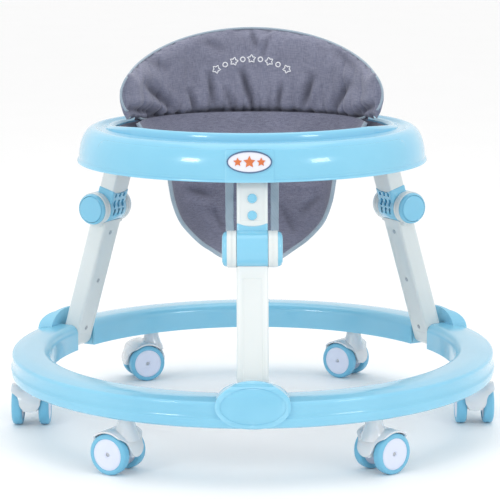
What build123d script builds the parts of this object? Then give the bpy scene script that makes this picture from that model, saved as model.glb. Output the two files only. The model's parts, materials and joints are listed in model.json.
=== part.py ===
from build123d import *
import os
from math import atan2, cos, degrees, hypot, radians, sin

# Folding baby walker with a round base, three hinged legs, a round tray and a cloth seat.
# Millimetres, +Z up, the front faces -Y, and the origin is on the floor below the centre.

# Base ring
RING_OUTER_RADIUS = 350.0
RING_WIDTH = 56.0
RING_CLEARANCE = 21.5
RING_HEIGHT = 38.0
RING_WALL = 3.0
RING_TOP_ROUND = 13.0
FLOOR_PLATE = 2.5

# Casters
CASTER_INSET = 28.0
CASTER_AZIMUTHS = (0, 60, 120, 180, 238.5, 300)
CASTER_NAMES = ("right", "back_right", "back_left", "left", "front_left", "front_right")
CASTER_YAWS = (270, 145, 200, 270, 150, 38)
WHEEL_RADIUS = 28.0
WHEEL_WIDTH = 15.0
WHEEL_GAP = 24.0
WHEEL_TREAD = 6.5
CASTER_TRAIL = 14.0
FORK_WIDTH = 20.0
HOOD_WALL = 2.4
HOOD_CLEARANCE = 1.6
HOOD_OVERHANG = 0.8
AXLE_RADIUS = 3.0
STEM_RADIUS = 5.0
STEM_TOP_GAP = 6.0
FORK_TOP_GAP = 2.0
SOCKET_WALL = 6.0
NECK_FLARE = 7.0
WEB_RADIUS = 8.0
HOOD_SKIRT_HEIGHT = 50.0
LOBE_HALF_WIDTH = 15.5
LOBE_DROP = 4.0

# Legs
LEG_AZIMUTHS = {"front": 270, "left": 150, "right": 30}
FOOT_INSET = 17.0
FOOT_RAISE = 15.5
LEG_WIDTH = 42.0
LEG_DEPTH = 27.0
LEG_RECESS_WIDTH = 26.0
LEG_RECESS_DEPTH = 1.2
LEG_EDGE = 4.0
FOOT_SIDE_CLEARANCE = 0.6
FOOT_BACK_CLEARANCE = 2.0
HOUSING_WALL = 3.0
FOOT_PIN_RADIUS = 4.0
FOOT_PIN_OVERHANG = 2.0
LEG_SCREW_RADIUS = 3.0
LEG_SCREW_FROM_ENDS = (20.0, 35.0)
LEG_SCREW_COUNT = 3

# Folding hinge between each lower leg and its strut
HUB_ALONG = 213.0
HUB_OFFSET = 6.8
HUB_RADIUS = 24.5
BARREL_SET_BACK = 0.5
CHEEK_THICKNESS = 12.8
CHEEK_GAP = 0.35
CAP_SET_BACK = 1.5
CAP_THICKNESS = 5.2
CAP_RING_WALL = 3.1
BUTTON_FIT = 0.3
BUTTON_PROUD = 1.2
BUTTON_TRAVEL = 2.5
BUTTON_SPARE = 0.5
HINGE_PIN_RADIUS = 5.0
RUNNING_CLEARANCE = 0.05
BARREL_CLEARANCE = 0.4
SHOULDER_REACH = 10.0
SHOULDER_HEIGHT = 14.0

# Strut and its socket
SLEEVE_RISE = 9.5
SLEEVE_DIP = 5.0
TENON_DEPTH = 22.0
TENON_WIDTH = 30.0
TENON_THICKNESS = 15.0
TENON_FIT = 0.15
STRUT_DEPTH = 25.0
STUD_RADIUS = 6.3
STUD_PROUD = 1.8
STUD_DEPTH = 3.0
STUD_RAISE = 9.9
STUD_PITCH = 22.5
SLOT_ROWS = 2
SLOTS_PER_ROW = 3

# Tray
TRAY_RADIUS = 250.0
TRAY_BOTTOM = 386.0
TRAY_WALL = 3.0
SKIRT_WIDTH = 38.0
LEDGE_RISE = 45.5
LIP_INSET = 9.0
LIP_RISE = 60.0
LIP_HALF_WIDTH = 5.5
LIP_FULL_FROM = 127.0
OPENING_WALL_HEIGHT = 29.0
TRAY_PIVOT_RISE = 14.0
TRAY_PIVOT_INSET = 34.0
TRAY_PIN_RADIUS = 4.0
OPEN_PIVOT_CLEARANCE = 5.5
BRACKET_WALL = 3.0
BRACKET_GAP = 0.6
OPEN_BRACKET_GAP = 3.5
BRACKET_REACH = 11.0
BRACKET_BELOW = 8.0
BADGE_WIDTH = 60.0
BADGE_HEIGHT = 29.0
BADGE_THICKNESS = 2.5
BADGE_RISE = 27.0

# Foot covers of the base ring
COVER_WIDTH = 99.0
COVER_HEIGHT = 60.0
COVER_PROUD = 2.5
COVER_STEP = 1.2
COVER_BORDER = 7.0

# Seat
PAD_CLEARANCE = 5.5
PAD_THICKNESS = 24.0
PAD_SIDE_SET_BACK = 2.0
PAD_HEIGHT = 174.0
PAD_RISE = 116.0
PAD_SUNK = 20.0
POUCH_CLOTH = 4.0
POUCH_SUNK = 22.0
POUCH_RIM_CLEARANCE = 17.5
POUCH_WAIST_INSET = 128.0
POUCH_BELLY_DEPTH = 90.0
POUCH_DEPTH = 140.0
POUCH_BOTTOM_RADIUS = 48.0
LEG_HOLE_DROP = 8.0
LEG_HOLE_HEIGHT = 106.0
LEG_HOLE_WIDTH = 62.0
LEG_HOLE_CORNER = 28.0
STRAP_WIDTH = 75.0

# Screws sunk into the base floor
BASE_SCREWS = 12
BASE_SCREW_RADIUS = 3.5
BASE_SCREW_HEIGHT = 1.4
BASE_SCREW_SUNK = 0.3

# Places that follow from the sizes above
RING_INNER_RADIUS = RING_OUTER_RADIUS - RING_WIDTH
RING_BOTTOM = 2 * WHEEL_RADIUS + RING_CLEARANCE
RING_TOP = RING_BOTTOM + RING_HEIGHT
CASTER_CIRCLE_RADIUS = RING_OUTER_RADIUS - CASTER_INSET
SOCKET_RADIUS = STEM_RADIUS + SOCKET_WALL
FOOT_RADIUS = RING_INNER_RADIUS + FOOT_INSET
FOOT_HEIGHT = RING_BOTTOM + FOOT_RAISE
FOOT_BACK = FOOT_RADIUS + LEG_DEPTH / 2 + FOOT_BACK_CLEARANCE
COVER_TOP = RING_BOTTOM + COVER_HEIGHT

BARREL_WIDTH = LEG_WIDTH - 2 * BARREL_SET_BACK
HUB_HALF = BARREL_WIDTH / 2 + CHEEK_GAP + CHEEK_THICKNESS
CAP_RADIUS = HUB_RADIUS - CAP_SET_BACK
BUTTON_RADIUS = CAP_RADIUS - CAP_RING_WALL - BUTTON_FIT
SLEEVE_TOP = HUB_ALONG + HUB_RADIUS + SLEEVE_RISE
STUD_FIRST = SLEEVE_TOP + STUD_RAISE

LEDGE_RADIUS = TRAY_RADIUS - SKIRT_WIDTH
LEDGE_HEIGHT = TRAY_BOTTOM + LEDGE_RISE
LIP_RADIUS = LEDGE_RADIUS - LIP_INSET
LIP_TOP = TRAY_BOTTOM + LIP_RISE
OPENING_RADIUS = LIP_RADIUS - LIP_HALF_WIDTH
OPENING_WALL_BOTTOM = LIP_TOP - OPENING_WALL_HEIGHT
TRAY_PIVOT_RADIUS = TRAY_RADIUS - TRAY_PIVOT_INSET
TRAY_PIVOT_HEIGHT = TRAY_BOTTOM + TRAY_PIVOT_RISE
LEG_TILT = degrees(atan2(FOOT_RADIUS - TRAY_PIVOT_RADIUS, TRAY_PIVOT_HEIGHT - FOOT_HEIGHT))
TRAY_PIVOT_ALONG = hypot(FOOT_RADIUS - TRAY_PIVOT_RADIUS, TRAY_PIVOT_HEIGHT - FOOT_HEIGHT)

PAD_RADIUS = OPENING_RADIUS - PAD_CLEARANCE
PAD_WIDTH = 2 * (PAD_RADIUS - PAD_SIDE_SET_BACK)
PAD_TOP = LIP_TOP + PAD_RISE
PAD_BOTTOM = LIP_TOP - PAD_SUNK
POUCH_TOP = LIP_TOP - POUCH_SUNK
POUCH_RIM_RADIUS = OPENING_RADIUS - POUCH_RIM_CLEARANCE
POUCH_WAIST_RADIUS = TRAY_RADIUS - POUCH_WAIST_INSET
POUCH_BOTTOM = TRAY_BOTTOM - POUCH_DEPTH
LEG_HOLE_TOP = TRAY_BOTTOM - LEG_HOLE_DROP
LEG_HOLE_BOTTOM = LEG_HOLE_TOP - LEG_HOLE_HEIGHT


def save(shape, name):
    export_step(shape, f"parts/{name}.step")


def rod(radius, low, high, x=0.0, z=0.0):
    """Round bar along Y from low to high."""
    bar = Cylinder(radius, high - low, rotation=(90, 0, 0))
    return Pos(x, (low + high) / 2, z) * bar


def block(x, y, z):
    """Box from three (low, high) pairs."""
    size = [pair[1] - pair[0] for pair in (x, y, z)]
    middle = [(pair[0] + pair[1]) / 2 for pair in (x, y, z)]
    return Pos(*middle) * Box(*size)


def turned(points):
    """Solid of revolution about Z from (radius, height) points."""
    outline = Polyline(*[(r, 0, z) for r, z in points], close=True)
    return revolve(make_face(outline), Axis.Z)


def at_leg(shape, azimuth):
    """Move a shape from the leg's own frame to its place.

    In that frame X is outward, Y is sideways, Z runs up the leg and the foot pin is at 0.
    """
    return Rot(0, 0, azimuth) * Pos(FOOT_RADIUS, 0, FOOT_HEIGHT) * Rot(0, -LEG_TILT, 0) * shape


def together(solids):
    return Compound(children=[part for solid in solids for part in solid.solids()])


# ---------------------------------------------------------------- base ring

def ring_section(inset):
    """Half section of the ring, moved inward by inset on its sides and top."""
    outer = RING_OUTER_RADIUS - inset
    inner = RING_INNER_RADIUS + inset
    top = RING_TOP - inset
    round_end = RING_TOP_ROUND - inset
    points = [(inner, RING_BOTTOM), (outer - 5, RING_BOTTOM)]
    points += [(outer, RING_BOTTOM + 9), (outer, RING_BOTTOM + 14)]
    points += [(outer - 3, RING_BOTTOM + 18), (outer - 2, top - 7), (outer - 8, top - 2)]
    points += [(outer - 20, top)]
    for step in range(0, 5):
        angle = radians(90 + 22.5 * step)
        points.append((inner + round_end * (1 + cos(angle)), top - round_end * (1 - sin(angle))))
    return points


def socket_cut():
    """Opening in the ring for one leg foot, at azimuth 0."""
    half = LEG_WIDTH / 2 + FOOT_SIDE_CLEARANCE
    return block(
        (RING_INNER_RADIUS - 20, FOOT_BACK), (-half, half), (RING_BOTTOM - 5, RING_TOP + 5)
    )


def make_ring():
    shell = turned(ring_section(0)) - turned(ring_section(RING_WALL))
    floor = turned([
        (RING_INNER_RADIUS + RING_WALL, RING_BOTTOM),
        (RING_OUTER_RADIUS - RING_WALL - 5, RING_BOTTOM),
        (RING_OUTER_RADIUS - RING_WALL - 5 + FLOOR_PLATE * 5 / 9, RING_BOTTOM + FLOOR_PLATE),
        (RING_INNER_RADIUS + RING_WALL, RING_BOTTOM + FLOOR_PLATE),
    ])
    for azimuth in LEG_AZIMUTHS.values():
        shell -= Rot(0, 0, azimuth) * socket_cut()
        floor -= Rot(0, 0, azimuth) * socket_cut()
    for azimuth in CASTER_AZIMUTHS:
        hole = Pos(CASTER_CIRCLE_RADIUS, 0, RING_BOTTOM) * Cylinder(SOCKET_RADIUS, 4 * FLOOR_PLATE)
        floor -= Rot(0, 0, azimuth) * hole
    for well in base_screws(0, BASE_SCREW_SUNK + BASE_SCREW_HEIGHT):
        floor -= well
    return shell, floor


def make_housing(cavity):
    """Three-walled housing round one leg foot, inside the ring, at azimuth 0."""
    half = LEG_WIDTH / 2 + FOOT_SIDE_CLEARANCE
    low = RING_BOTTOM + FLOOR_PLATE
    walls = block(
        (RING_INNER_RADIUS + RING_WALL, FOOT_BACK + HOUSING_WALL),
        (-half - HOUSING_WALL, half + HOUSING_WALL),
        (low, RING_TOP),
    )
    walls -= socket_cut()
    walls -= rod(FOOT_PIN_RADIUS, -LEG_WIDTH, LEG_WIDTH, FOOT_RADIUS, FOOT_HEIGHT)
    return walls & cavity


def make_foot_pin():
    reach = LEG_WIDTH / 2 + FOOT_SIDE_CLEARANCE + HOUSING_WALL + FOOT_PIN_OVERHANG
    return rod(FOOT_PIN_RADIUS, -reach, reach, FOOT_RADIUS, FOOT_HEIGHT)


def make_caster_socket(cavity):
    """Sleeve in the ring that holds one caster stem, at azimuth 0."""
    tube = Cylinder(SOCKET_RADIUS, RING_HEIGHT, align=(Align.CENTER, Align.CENTER, Align.MIN))
    tube = Pos(CASTER_CIRCLE_RADIUS, 0, RING_BOTTOM) * tube
    bore_height = RING_HEIGHT - STEM_TOP_GAP + 1
    bore = Cylinder(
        STEM_RADIUS + RUNNING_CLEARANCE, bore_height, align=(Align.CENTER, Align.CENTER, Align.MIN)
    )
    return (tube & cavity) - Pos(CASTER_CIRCLE_RADIUS, 0, RING_BOTTOM) * bore


def cover_section(inset):
    """Section of a foot cover: it follows the ring's face and rises behind it to a hump."""
    face = RING_OUTER_RADIUS + COVER_PROUD - inset
    top = COVER_TOP + 2 - inset
    return [
        (FOOT_BACK, RING_BOTTOM),
        (face - 4, RING_BOTTOM),
        (face, RING_BOTTOM + 7),
        (face, RING_BOTTOM + 15),
        (face - 2, RING_TOP - 8),
        (face - 7, RING_TOP + 4),
        (face - 15, top - 4),
        (FOOT_BACK + 8, top),
        (FOOT_BACK, top),
    ]


def make_foot_cover(ring_body):
    """Oval cover over one leg's foot, with a raised border and a plain middle, at azimuth 0."""
    height = COVER_HEIGHT
    place = Pos(0, 0, RING_BOTTOM + height / 2) * Rot(0, 90, 0)
    reach = RING_OUTER_RADIUS + 2 * COVER_PROUD
    oval = place * extrude(Ellipse(height / 2, COVER_WIDTH / 2), reach)
    half = height / 2 - COVER_BORDER
    middle = place * extrude(Ellipse(half, COVER_WIDTH / 2 - COVER_BORDER), reach)
    border = turned(cover_section(0))
    panel = turned(cover_section(COVER_STEP))
    cover = (border & oval) - (middle - panel)
    return largest(cover - ring_body)


def largest(shape):
    return sorted(shape.solids(), key=lambda solid: solid.volume)[-1]


def make_base():
    shell, floor = make_ring()
    cavity = turned(ring_section(RING_WALL))
    housing = make_housing(cavity)
    pin = make_foot_pin()
    socket = make_caster_socket(cavity)
    cover = make_foot_cover(turned(ring_section(0)))
    save(shell, "base_ring_shell")
    save(floor, "base_ring_floor")
    save(together([Rot(0, 0, a) * housing for a in LEG_AZIMUTHS.values()]), "leg_foot_housings")
    save(together([Rot(0, 0, a) * pin for a in LEG_AZIMUTHS.values()]), "foot_pins")
    save(together([Rot(0, 0, a) * socket for a in CASTER_AZIMUTHS]), "caster_sockets")
    for name, azimuth in LEG_AZIMUTHS.items():
        save(Rot(0, 0, azimuth) * cover, f"foot_cover_{name}")
    screws = base_screws(BASE_SCREW_SUNK, BASE_SCREW_SUNK + BASE_SCREW_HEIGHT)
    save(together(screws), "ring_screws")


def base_screws(low, high):
    """Round screw heads in the floor plate, between two heights above its underside."""
    radius = (RING_INNER_RADIUS + RING_OUTER_RADIUS) / 2
    align = (Align.CENTER, Align.CENTER, Align.MIN)
    head = Cylinder(BASE_SCREW_RADIUS, high - low, align=align)
    placed = Pos(radius, 0, RING_BOTTOM + low) * head
    return [Rot(0, 0, (i + 0.5) * 360 / BASE_SCREWS) * placed for i in range(BASE_SCREWS)]


# ------------------------------------------------------------------ casters

def caster_place(azimuth, yaw):
    """Frame on the floor under a stem; the wheels trail towards its +X."""
    x = CASTER_CIRCLE_RADIUS * cos(radians(azimuth))
    y = CASTER_CIRCLE_RADIUS * sin(radians(azimuth))
    return Pos(x, y, 0) * Rot(0, 0, yaw)


def make_fork():
    """Stem, axle web and a hood over both wheels that ends in a round lobe fore and aft."""
    top = RING_BOTTOM - FORK_TOP_GAP
    low = WHEEL_RADIUS - LOBE_DROP
    web = rod(WEB_RADIUS, -FORK_WIDTH / 2, FORK_WIDTH / 2, CASTER_TRAIL, WHEEL_RADIUS)
    hood_inner = WHEEL_RADIUS + HOOD_CLEARANCE
    hood_outer = hood_inner + HOOD_WALL
    hood_half = WHEEL_GAP / 2 + WHEEL_WIDTH + HOOD_OVERHANG
    hood = rod(hood_outer, -hood_half, hood_half, CASTER_TRAIL, WHEEL_RADIUS)
    hood -= rod(hood_inner, -hood_half - 1, hood_half + 1, CASTER_TRAIL, WHEEL_RADIUS)
    hood &= hood_outline(low, top, hood_half)
    spine = block(
        (CASTER_TRAIL - hood_outer, CASTER_TRAIL + hood_outer),
        (-FORK_WIDTH / 2, FORK_WIDTH / 2),
        (low, WHEEL_RADIUS + hood_inner),
    )
    spine &= rod(hood_outer, -FORK_WIDTH, FORK_WIDTH, CASTER_TRAIL, WHEEL_RADIUS)
    neck = Cone(
        SOCKET_RADIUS + NECK_FLARE, SOCKET_RADIUS, top - WHEEL_RADIUS - 18,
        align=(Align.CENTER, Align.CENTER, Align.MIN),
    )
    neck = Pos(0, 0, WHEEL_RADIUS + 18) * neck
    neck -= rod(hood_inner, -hood_half, hood_half, CASTER_TRAIL, WHEEL_RADIUS)
    stem_top = RING_BOTTOM + RING_HEIGHT - STEM_TOP_GAP - 1
    stem = Cylinder(STEM_RADIUS, stem_top - top + 4, align=(Align.CENTER, Align.CENTER, Align.MIN))
    stem = Pos(0, 0, top - 4) * stem
    fork = web + spine + hood + neck + stem
    return fork - rod(AXLE_RADIUS + RUNNING_CLEARANCE, -40, 40, CASTER_TRAIL, WHEEL_RADIUS)


def hood_outline(low, top, half):
    """Shape that the hood is trimmed to, as seen from its front: a skirt above a round lobe."""
    reach = (CASTER_TRAIL - 2 * WHEEL_RADIUS, CASTER_TRAIL + 2 * WHEEL_RADIUS)
    skirt = block(reach, (-half, half), (HOOD_SKIRT_HEIGHT, top))
    centre = low + LOBE_HALF_WIDTH
    lobe = block(reach, (-LOBE_HALF_WIDTH, LOBE_HALF_WIDTH), (centre, top))
    lobe += Pos(CASTER_TRAIL, 0, centre) * Cylinder(
        LOBE_HALF_WIDTH, 4 * WHEEL_RADIUS, rotation=(0, 90, 0)
    )
    return skirt + lobe


def make_tyres():
    inner = WHEEL_GAP / 2
    tyres = []
    for side in (-1, 1):
        low, high = sorted((side * inner, side * (inner + WHEEL_WIDTH)))
        tyre = rod(WHEEL_RADIUS, low, high, CASTER_TRAIL, WHEEL_RADIUS)
        tyre = fillet(tyre.edges(), 3.5)
        tyre -= rod(WHEEL_RADIUS - WHEEL_TREAD, low - 1, high + 1, CASTER_TRAIL, WHEEL_RADIUS)
        tyres.append(tyre)
    return together(tyres)


def make_hubs():
    """Two wheel centres on one axle, which turn as one piece."""
    inner = WHEEL_GAP / 2
    radius = WHEEL_RADIUS - WHEEL_TREAD
    outer = inner + WHEEL_WIDTH
    wheel_set = rod(AXLE_RADIUS, -outer, outer, CASTER_TRAIL, WHEEL_RADIUS)
    for side in (-1, 1):
        low, high = sorted((side * (inner + 1), side * (outer - 1)))
        wheel_set += rod(radius, low, high, CASTER_TRAIL, WHEEL_RADIUS)
    return wheel_set


def make_casters():
    fork, tyres, hubs = make_fork(), make_tyres(), make_hubs()
    for name, azimuth, yaw in zip(CASTER_NAMES, CASTER_AZIMUTHS, CASTER_YAWS):
        place = caster_place(azimuth, yaw)
        save(place * fork, f"caster_fork_{name}")
        save(place * tyres, f"caster_tyres_{name}")
        save(place * hubs, f"caster_hubs_{name}")


# --------------------------------------------------------------------- legs

def make_lower_leg():
    half = LEG_WIDTH / 2
    depth = LEG_DEPTH / 2
    top = HUB_ALONG - 6
    leg = block((-depth, depth), (-half, half), (0, top))
    leg = fillet(leg.edges().filter_by(Axis.Z), LEG_EDGE)
    foot = rod(depth, -half, half)
    leg += foot
    recess_half = LEG_RECESS_WIDTH / 2
    leg -= block(
        (depth - LEG_RECESS_DEPTH, depth + 5), (-recess_half, recess_half), (16, HUB_ALONG - 40)
    )
    wide = half + SHOULDER_REACH
    shoulder_low = HUB_ALONG - HUB_RADIUS - 4
    shoulder = block(
        (-depth + 3, depth + 3), (-wide, wide), (shoulder_low, shoulder_low + SHOULDER_HEIGHT)
    )
    shoulder = chamfer(shoulder.edges().group_by(Axis.Z)[0], 3)
    leg += shoulder
    barrel_half = BARREL_WIDTH / 2 + CHEEK_GAP
    leg -= rod(HUB_RADIUS + BARREL_CLEARANCE, -barrel_half, barrel_half, HUB_OFFSET, HUB_ALONG)
    for side in (-1, 1):
        low, high = sorted((side * barrel_half, side * HUB_HALF))
        cheek = rod(HUB_RADIUS, low, high, HUB_OFFSET, HUB_ALONG)
        leg += cheek
    leg -= rod(HINGE_PIN_RADIUS, -HUB_HALF - 1, HUB_HALF + 1, HUB_OFFSET, HUB_ALONG)
    leg -= rod(FOOT_PIN_RADIUS + RUNNING_CLEARANCE, -half - 1, half + 1)
    for place in leg_screw_places():
        leg -= Pos(-depth, 0, place) * Cylinder(LEG_SCREW_RADIUS, 3, rotation=(0, 90, 0))
    return largest(leg)


def leg_screw_places():
    """Distances of the leg's screws from the foot pin, evenly spaced."""
    first = LEG_SCREW_FROM_ENDS[0]
    last = HUB_ALONG - LEG_SCREW_FROM_ENDS[1]
    step = (last - first) / (LEG_SCREW_COUNT - 1)
    return [first + i * step for i in range(LEG_SCREW_COUNT)]


def make_leg_screws():
    """Screw heads sunk into the inward face of one leg."""
    head = Cylinder(LEG_SCREW_RADIUS, 1.2, rotation=(0, 90, 0))
    sunk = -LEG_DEPTH / 2 + 0.9
    return together([Pos(sunk, 0, place) * head for place in leg_screw_places()])


def make_hinge_caps():
    """Rings on the outer faces of the cheeks, in which the buttons slide."""
    caps = []
    for side in (-1, 1):
        low, high = sorted((side * HUB_HALF, side * (HUB_HALF + CAP_THICKNESS)))
        cap = rod(CAP_RADIUS, low, high, HUB_OFFSET, HUB_ALONG)
        cap -= rod(BUTTON_RADIUS + BUTTON_FIT, low - 1, high + 1, HUB_OFFSET, HUB_ALONG)
        caps.append(cap)
    return together(caps)


def make_button(side):
    low = side * (HUB_HALF + BUTTON_TRAVEL + BUTTON_SPARE)
    high = side * (HUB_HALF + CAP_THICKNESS + BUTTON_PROUD)
    low, high = sorted((low, high))
    button = rod(BUTTON_RADIUS, low, high, HUB_OFFSET, HUB_ALONG)
    outer_edge = button.edges().sort_by(Axis.Y)[-1 if side > 0 else 0]
    return fillet(outer_edge, 1.0)


def make_sleeve():
    """Blue hinge barrel with the socket for the strut."""
    half = BARREL_WIDTH / 2
    depth = LEG_DEPTH / 2
    barrel = rod(HUB_RADIUS, -half, half, HUB_OFFSET, HUB_ALONG)
    body = block((-depth, depth), (-half, half), (HUB_ALONG - 8, SLEEVE_TOP))
    body -= dip(half)
    sleeve = barrel + body
    pocket_half = TENON_WIDTH / 2 + TENON_FIT
    pocket_depth = TENON_THICKNESS / 2 + TENON_FIT
    floor = SLEEVE_TOP - TENON_DEPTH - TENON_FIT
    sleeve -= block(
        (-pocket_depth, pocket_depth), (-pocket_half, pocket_half), (floor, SLEEVE_TOP + 5)
    )
    sleeve -= rod(HINGE_PIN_RADIUS + RUNNING_CLEARANCE, -half - 1, half + 1, HUB_OFFSET, HUB_ALONG)
    for row in range(SLOT_ROWS):
        for column in range(SLOTS_PER_ROW):
            y = (column - (SLOTS_PER_ROW - 1) / 2) * 10
            z = HUB_ALONG + 4 + row * 12
            slot = Pos(-depth, y, z) * Rot(15, 0, 0) * Box(3, 4, 9)
            sleeve -= slot
    return largest(sleeve)


def dip(half):
    """Curved hollow in the top edge of the sleeve, matched by the strut's foot."""
    radius = (half ** 2 + SLEEVE_DIP ** 2) / (2 * SLEEVE_DIP)
    centre = SLEEVE_TOP - SLEEVE_DIP + radius
    return Pos(0, 0, centre) * Cylinder(radius, LEG_DEPTH + 10, rotation=(0, 90, 0))


def make_strut(pin_hole_radius):
    half = BARREL_WIDTH / 2
    depth = STRUT_DEPTH / 2
    strut = block((-depth, depth), (-half, half), (SLEEVE_TOP - SLEEVE_DIP - 1, TRAY_PIVOT_ALONG))
    strut = fillet(strut.edges().filter_by(Axis.Z), LEG_EDGE)
    below = block((-depth, depth), (-half, half), (SLEEVE_TOP - SLEEVE_DIP - 1, SLEEVE_TOP))
    strut -= below - dip(half)
    strut += rod(depth, -half, half, 0, TRAY_PIVOT_ALONG)
    strut += block(
        (-TENON_THICKNESS / 2, TENON_THICKNESS / 2),
        (-TENON_WIDTH / 2, TENON_WIDTH / 2),
        (SLEEVE_TOP - TENON_DEPTH, SLEEVE_TOP + 2),
    )
    strut -= rod(pin_hole_radius, -half - 1, half + 1, 0, TRAY_PIVOT_ALONG)
    for index in range(2):
        z = STUD_FIRST + index * STUD_PITCH
        strut -= Pos(depth, 0, z) * Cylinder(STUD_RADIUS, 2 * STUD_DEPTH, rotation=(0, 90, 0))
    return largest(strut)


def make_studs():
    """Two round studs that lock the strut, on its outward face."""
    depth = STRUT_DEPTH / 2
    length = STUD_DEPTH + STUD_PROUD
    middle = depth - STUD_DEPTH + length / 2
    stud = Cylinder(STUD_RADIUS, length, rotation=(0, 90, 0))
    return together([Pos(middle, 0, STUD_FIRST + i * STUD_PITCH) * stud for i in range(2)])


def make_legs():
    lower_leg = make_lower_leg()
    screws = make_leg_screws()
    caps = make_hinge_caps()
    pin = rod(HINGE_PIN_RADIUS, -HUB_HALF, HUB_HALF, HUB_OFFSET, HUB_ALONG)
    sleeve = make_sleeve()
    studs = make_studs()
    for name, azimuth in LEG_AZIMUTHS.items():
        spare = RUNNING_CLEARANCE if name == "front" else OPEN_PIVOT_CLEARANCE
        strut = make_strut(TRAY_PIN_RADIUS + spare)
        save(at_leg(lower_leg, azimuth), f"lower_leg_{name}")
        save(at_leg(screws, azimuth), f"leg_screws_{name}")
        save(at_leg(caps, azimuth), f"hinge_caps_{name}")
        save(at_leg(pin, azimuth), f"hinge_pin_{name}")
        save(at_leg(sleeve, azimuth), f"hinge_sleeve_{name}")
        save(at_leg(strut, azimuth), f"upper_strut_{name}")
        save(at_leg(studs, azimuth), f"strut_studs_{name}")
        save(at_leg(make_button(1), azimuth), f"hinge_button_{name}_a")
        save(at_leg(make_button(-1), azimuth), f"hinge_button_{name}_b")


# --------------------------------------------------------------------- tray

def tray_outline(inset):
    """Section of the tray's skin without its lip; inset moves it inward to the hollow side."""
    shoulder = LEDGE_RISE - 6
    lean = 4.0
    outer = TRAY_RADIUS - inset
    ledge = LEDGE_HEIGHT - inset
    points = [(outer, TRAY_BOTTOM)]
    run = SKIRT_WIDTH - lean - 4
    for step in range(0, 9):
        angle = radians(11.25 * step)
        points.append((outer - lean - run * (1 - cos(angle)), ledge - shoulder * (1 - sin(angle))))
    inner = OPENING_RADIUS + inset
    return points + [(LEDGE_RADIUS, ledge), (inner, ledge), (inner, OPENING_WALL_BOTTOM)]


def make_lip():
    """Lip on the front half of the opening's edge: full height in front, sloping down to the sides."""
    outer, top = LIP_RADIUS + LIP_HALF_WIDTH, LIP_TOP
    ring = turned([
        (OPENING_RADIUS, LEDGE_HEIGHT - TRAY_WALL),
        (outer, LEDGE_HEIGHT - TRAY_WALL),
        (outer, top - 3.5),
        (outer - 1.5, top),
        (OPENING_RADIUS + 1.5, top),
        (OPENING_RADIUS, top - 3.5),
    ])
    far, low = TRAY_RADIUS, LEDGE_HEIGHT - 2 * TRAY_WALL
    side = Polyline([(-far, low), (-far, top + 5), (-LIP_FULL_FROM, top + 5), (-LIP_FULL_FROM, top),
                     (0, LEDGE_HEIGHT), (0, low), (-far, low)])
    wedge = extrude(Plane.YZ * make_face(side), far, both=True)
    return ring & wedge


def make_tray():
    skin = tray_outline(0)
    hollow = tray_outline(TRAY_WALL)
    return turned(skin + list(reversed(hollow))) + make_lip()


def make_bracket(side_gap):
    """Pair of lugs under the tray that hold one pivot pin, at azimuth 0."""
    middle = TRAY_PIVOT_RADIUS
    inner = BARREL_WIDTH / 2 + side_gap
    outline_low = TRAY_PIVOT_HEIGHT - BRACKET_BELOW
    lugs = block(
        (middle - BRACKET_REACH, middle + BRACKET_REACH),
        (-inner - BRACKET_WALL, inner + BRACKET_WALL),
        (outline_low, LIP_TOP),
    )
    lugs -= block((0, TRAY_RADIUS), (-inner, inner), (0, LIP_TOP + 5))
    lugs -= rod(TRAY_PIN_RADIUS, -2 * inner, 2 * inner, middle, TRAY_PIVOT_HEIGHT)
    return lugs


def tray_space():
    """Hollow under the tray's skin."""
    hollow = tray_outline(TRAY_WALL)
    low = TRAY_BOTTOM - 20
    return turned(hollow + [(hollow[-1][0], low), (TRAY_RADIUS - TRAY_WALL, low)])


def make_brackets():
    space = tray_space()
    brackets = []
    for name, azimuth in LEG_AZIMUTHS.items():
        gap = BRACKET_GAP if name == "front" else OPEN_BRACKET_GAP
        brackets.append(Rot(0, 0, azimuth) * make_bracket(gap) & space)
    return together(brackets)


def make_tray_pins():
    pins = []
    for name, azimuth in LEG_AZIMUTHS.items():
        gap = BRACKET_GAP if name == "front" else OPEN_BRACKET_GAP
        reach = BARREL_WIDTH / 2 + gap + BRACKET_WALL + 1
        pin = rod(TRAY_PIN_RADIUS, -reach, reach, TRAY_PIVOT_RADIUS, TRAY_PIVOT_HEIGHT)
        pins.append(Rot(0, 0, azimuth) * pin)
    return together(pins)


def make_badge(tray_body):
    """Plain oval plate on the front of the tray."""
    oval = Ellipse(BADGE_WIDTH / 2, BADGE_HEIGHT / 2)
    slug = Pos(0, -TRAY_RADIUS - 10, TRAY_BOTTOM + BADGE_RISE) * Rot(90, 0, 0) * extrude(oval, 60, both=True)
    thick = BADGE_THICKNESS
    grown = [(r + thick, z) for r, z in tray_outline(0)]
    jacket = turned(grown + [(LIP_RADIUS, OPENING_WALL_BOTTOM), (LIP_RADIUS, TRAY_BOTTOM)])
    front = block((-60, 60), (-TRAY_RADIUS - 20, -TRAY_RADIUS + 60), (TRAY_BOTTOM, LEDGE_HEIGHT))
    return largest((slug & jacket & front) - tray_body)


def make_tray_pieces():
    tray = make_tray()
    filled = turned(tray_outline(0) + [(OPENING_RADIUS, TRAY_BOTTOM)])
    save(tray, "tray_shell")
    save(make_brackets(), "tray_brackets")
    save(make_tray_pins(), "tray_pivot_pins")
    save(make_badge(filled), "tray_badge")


# --------------------------------------------------------------------- seat

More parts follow.
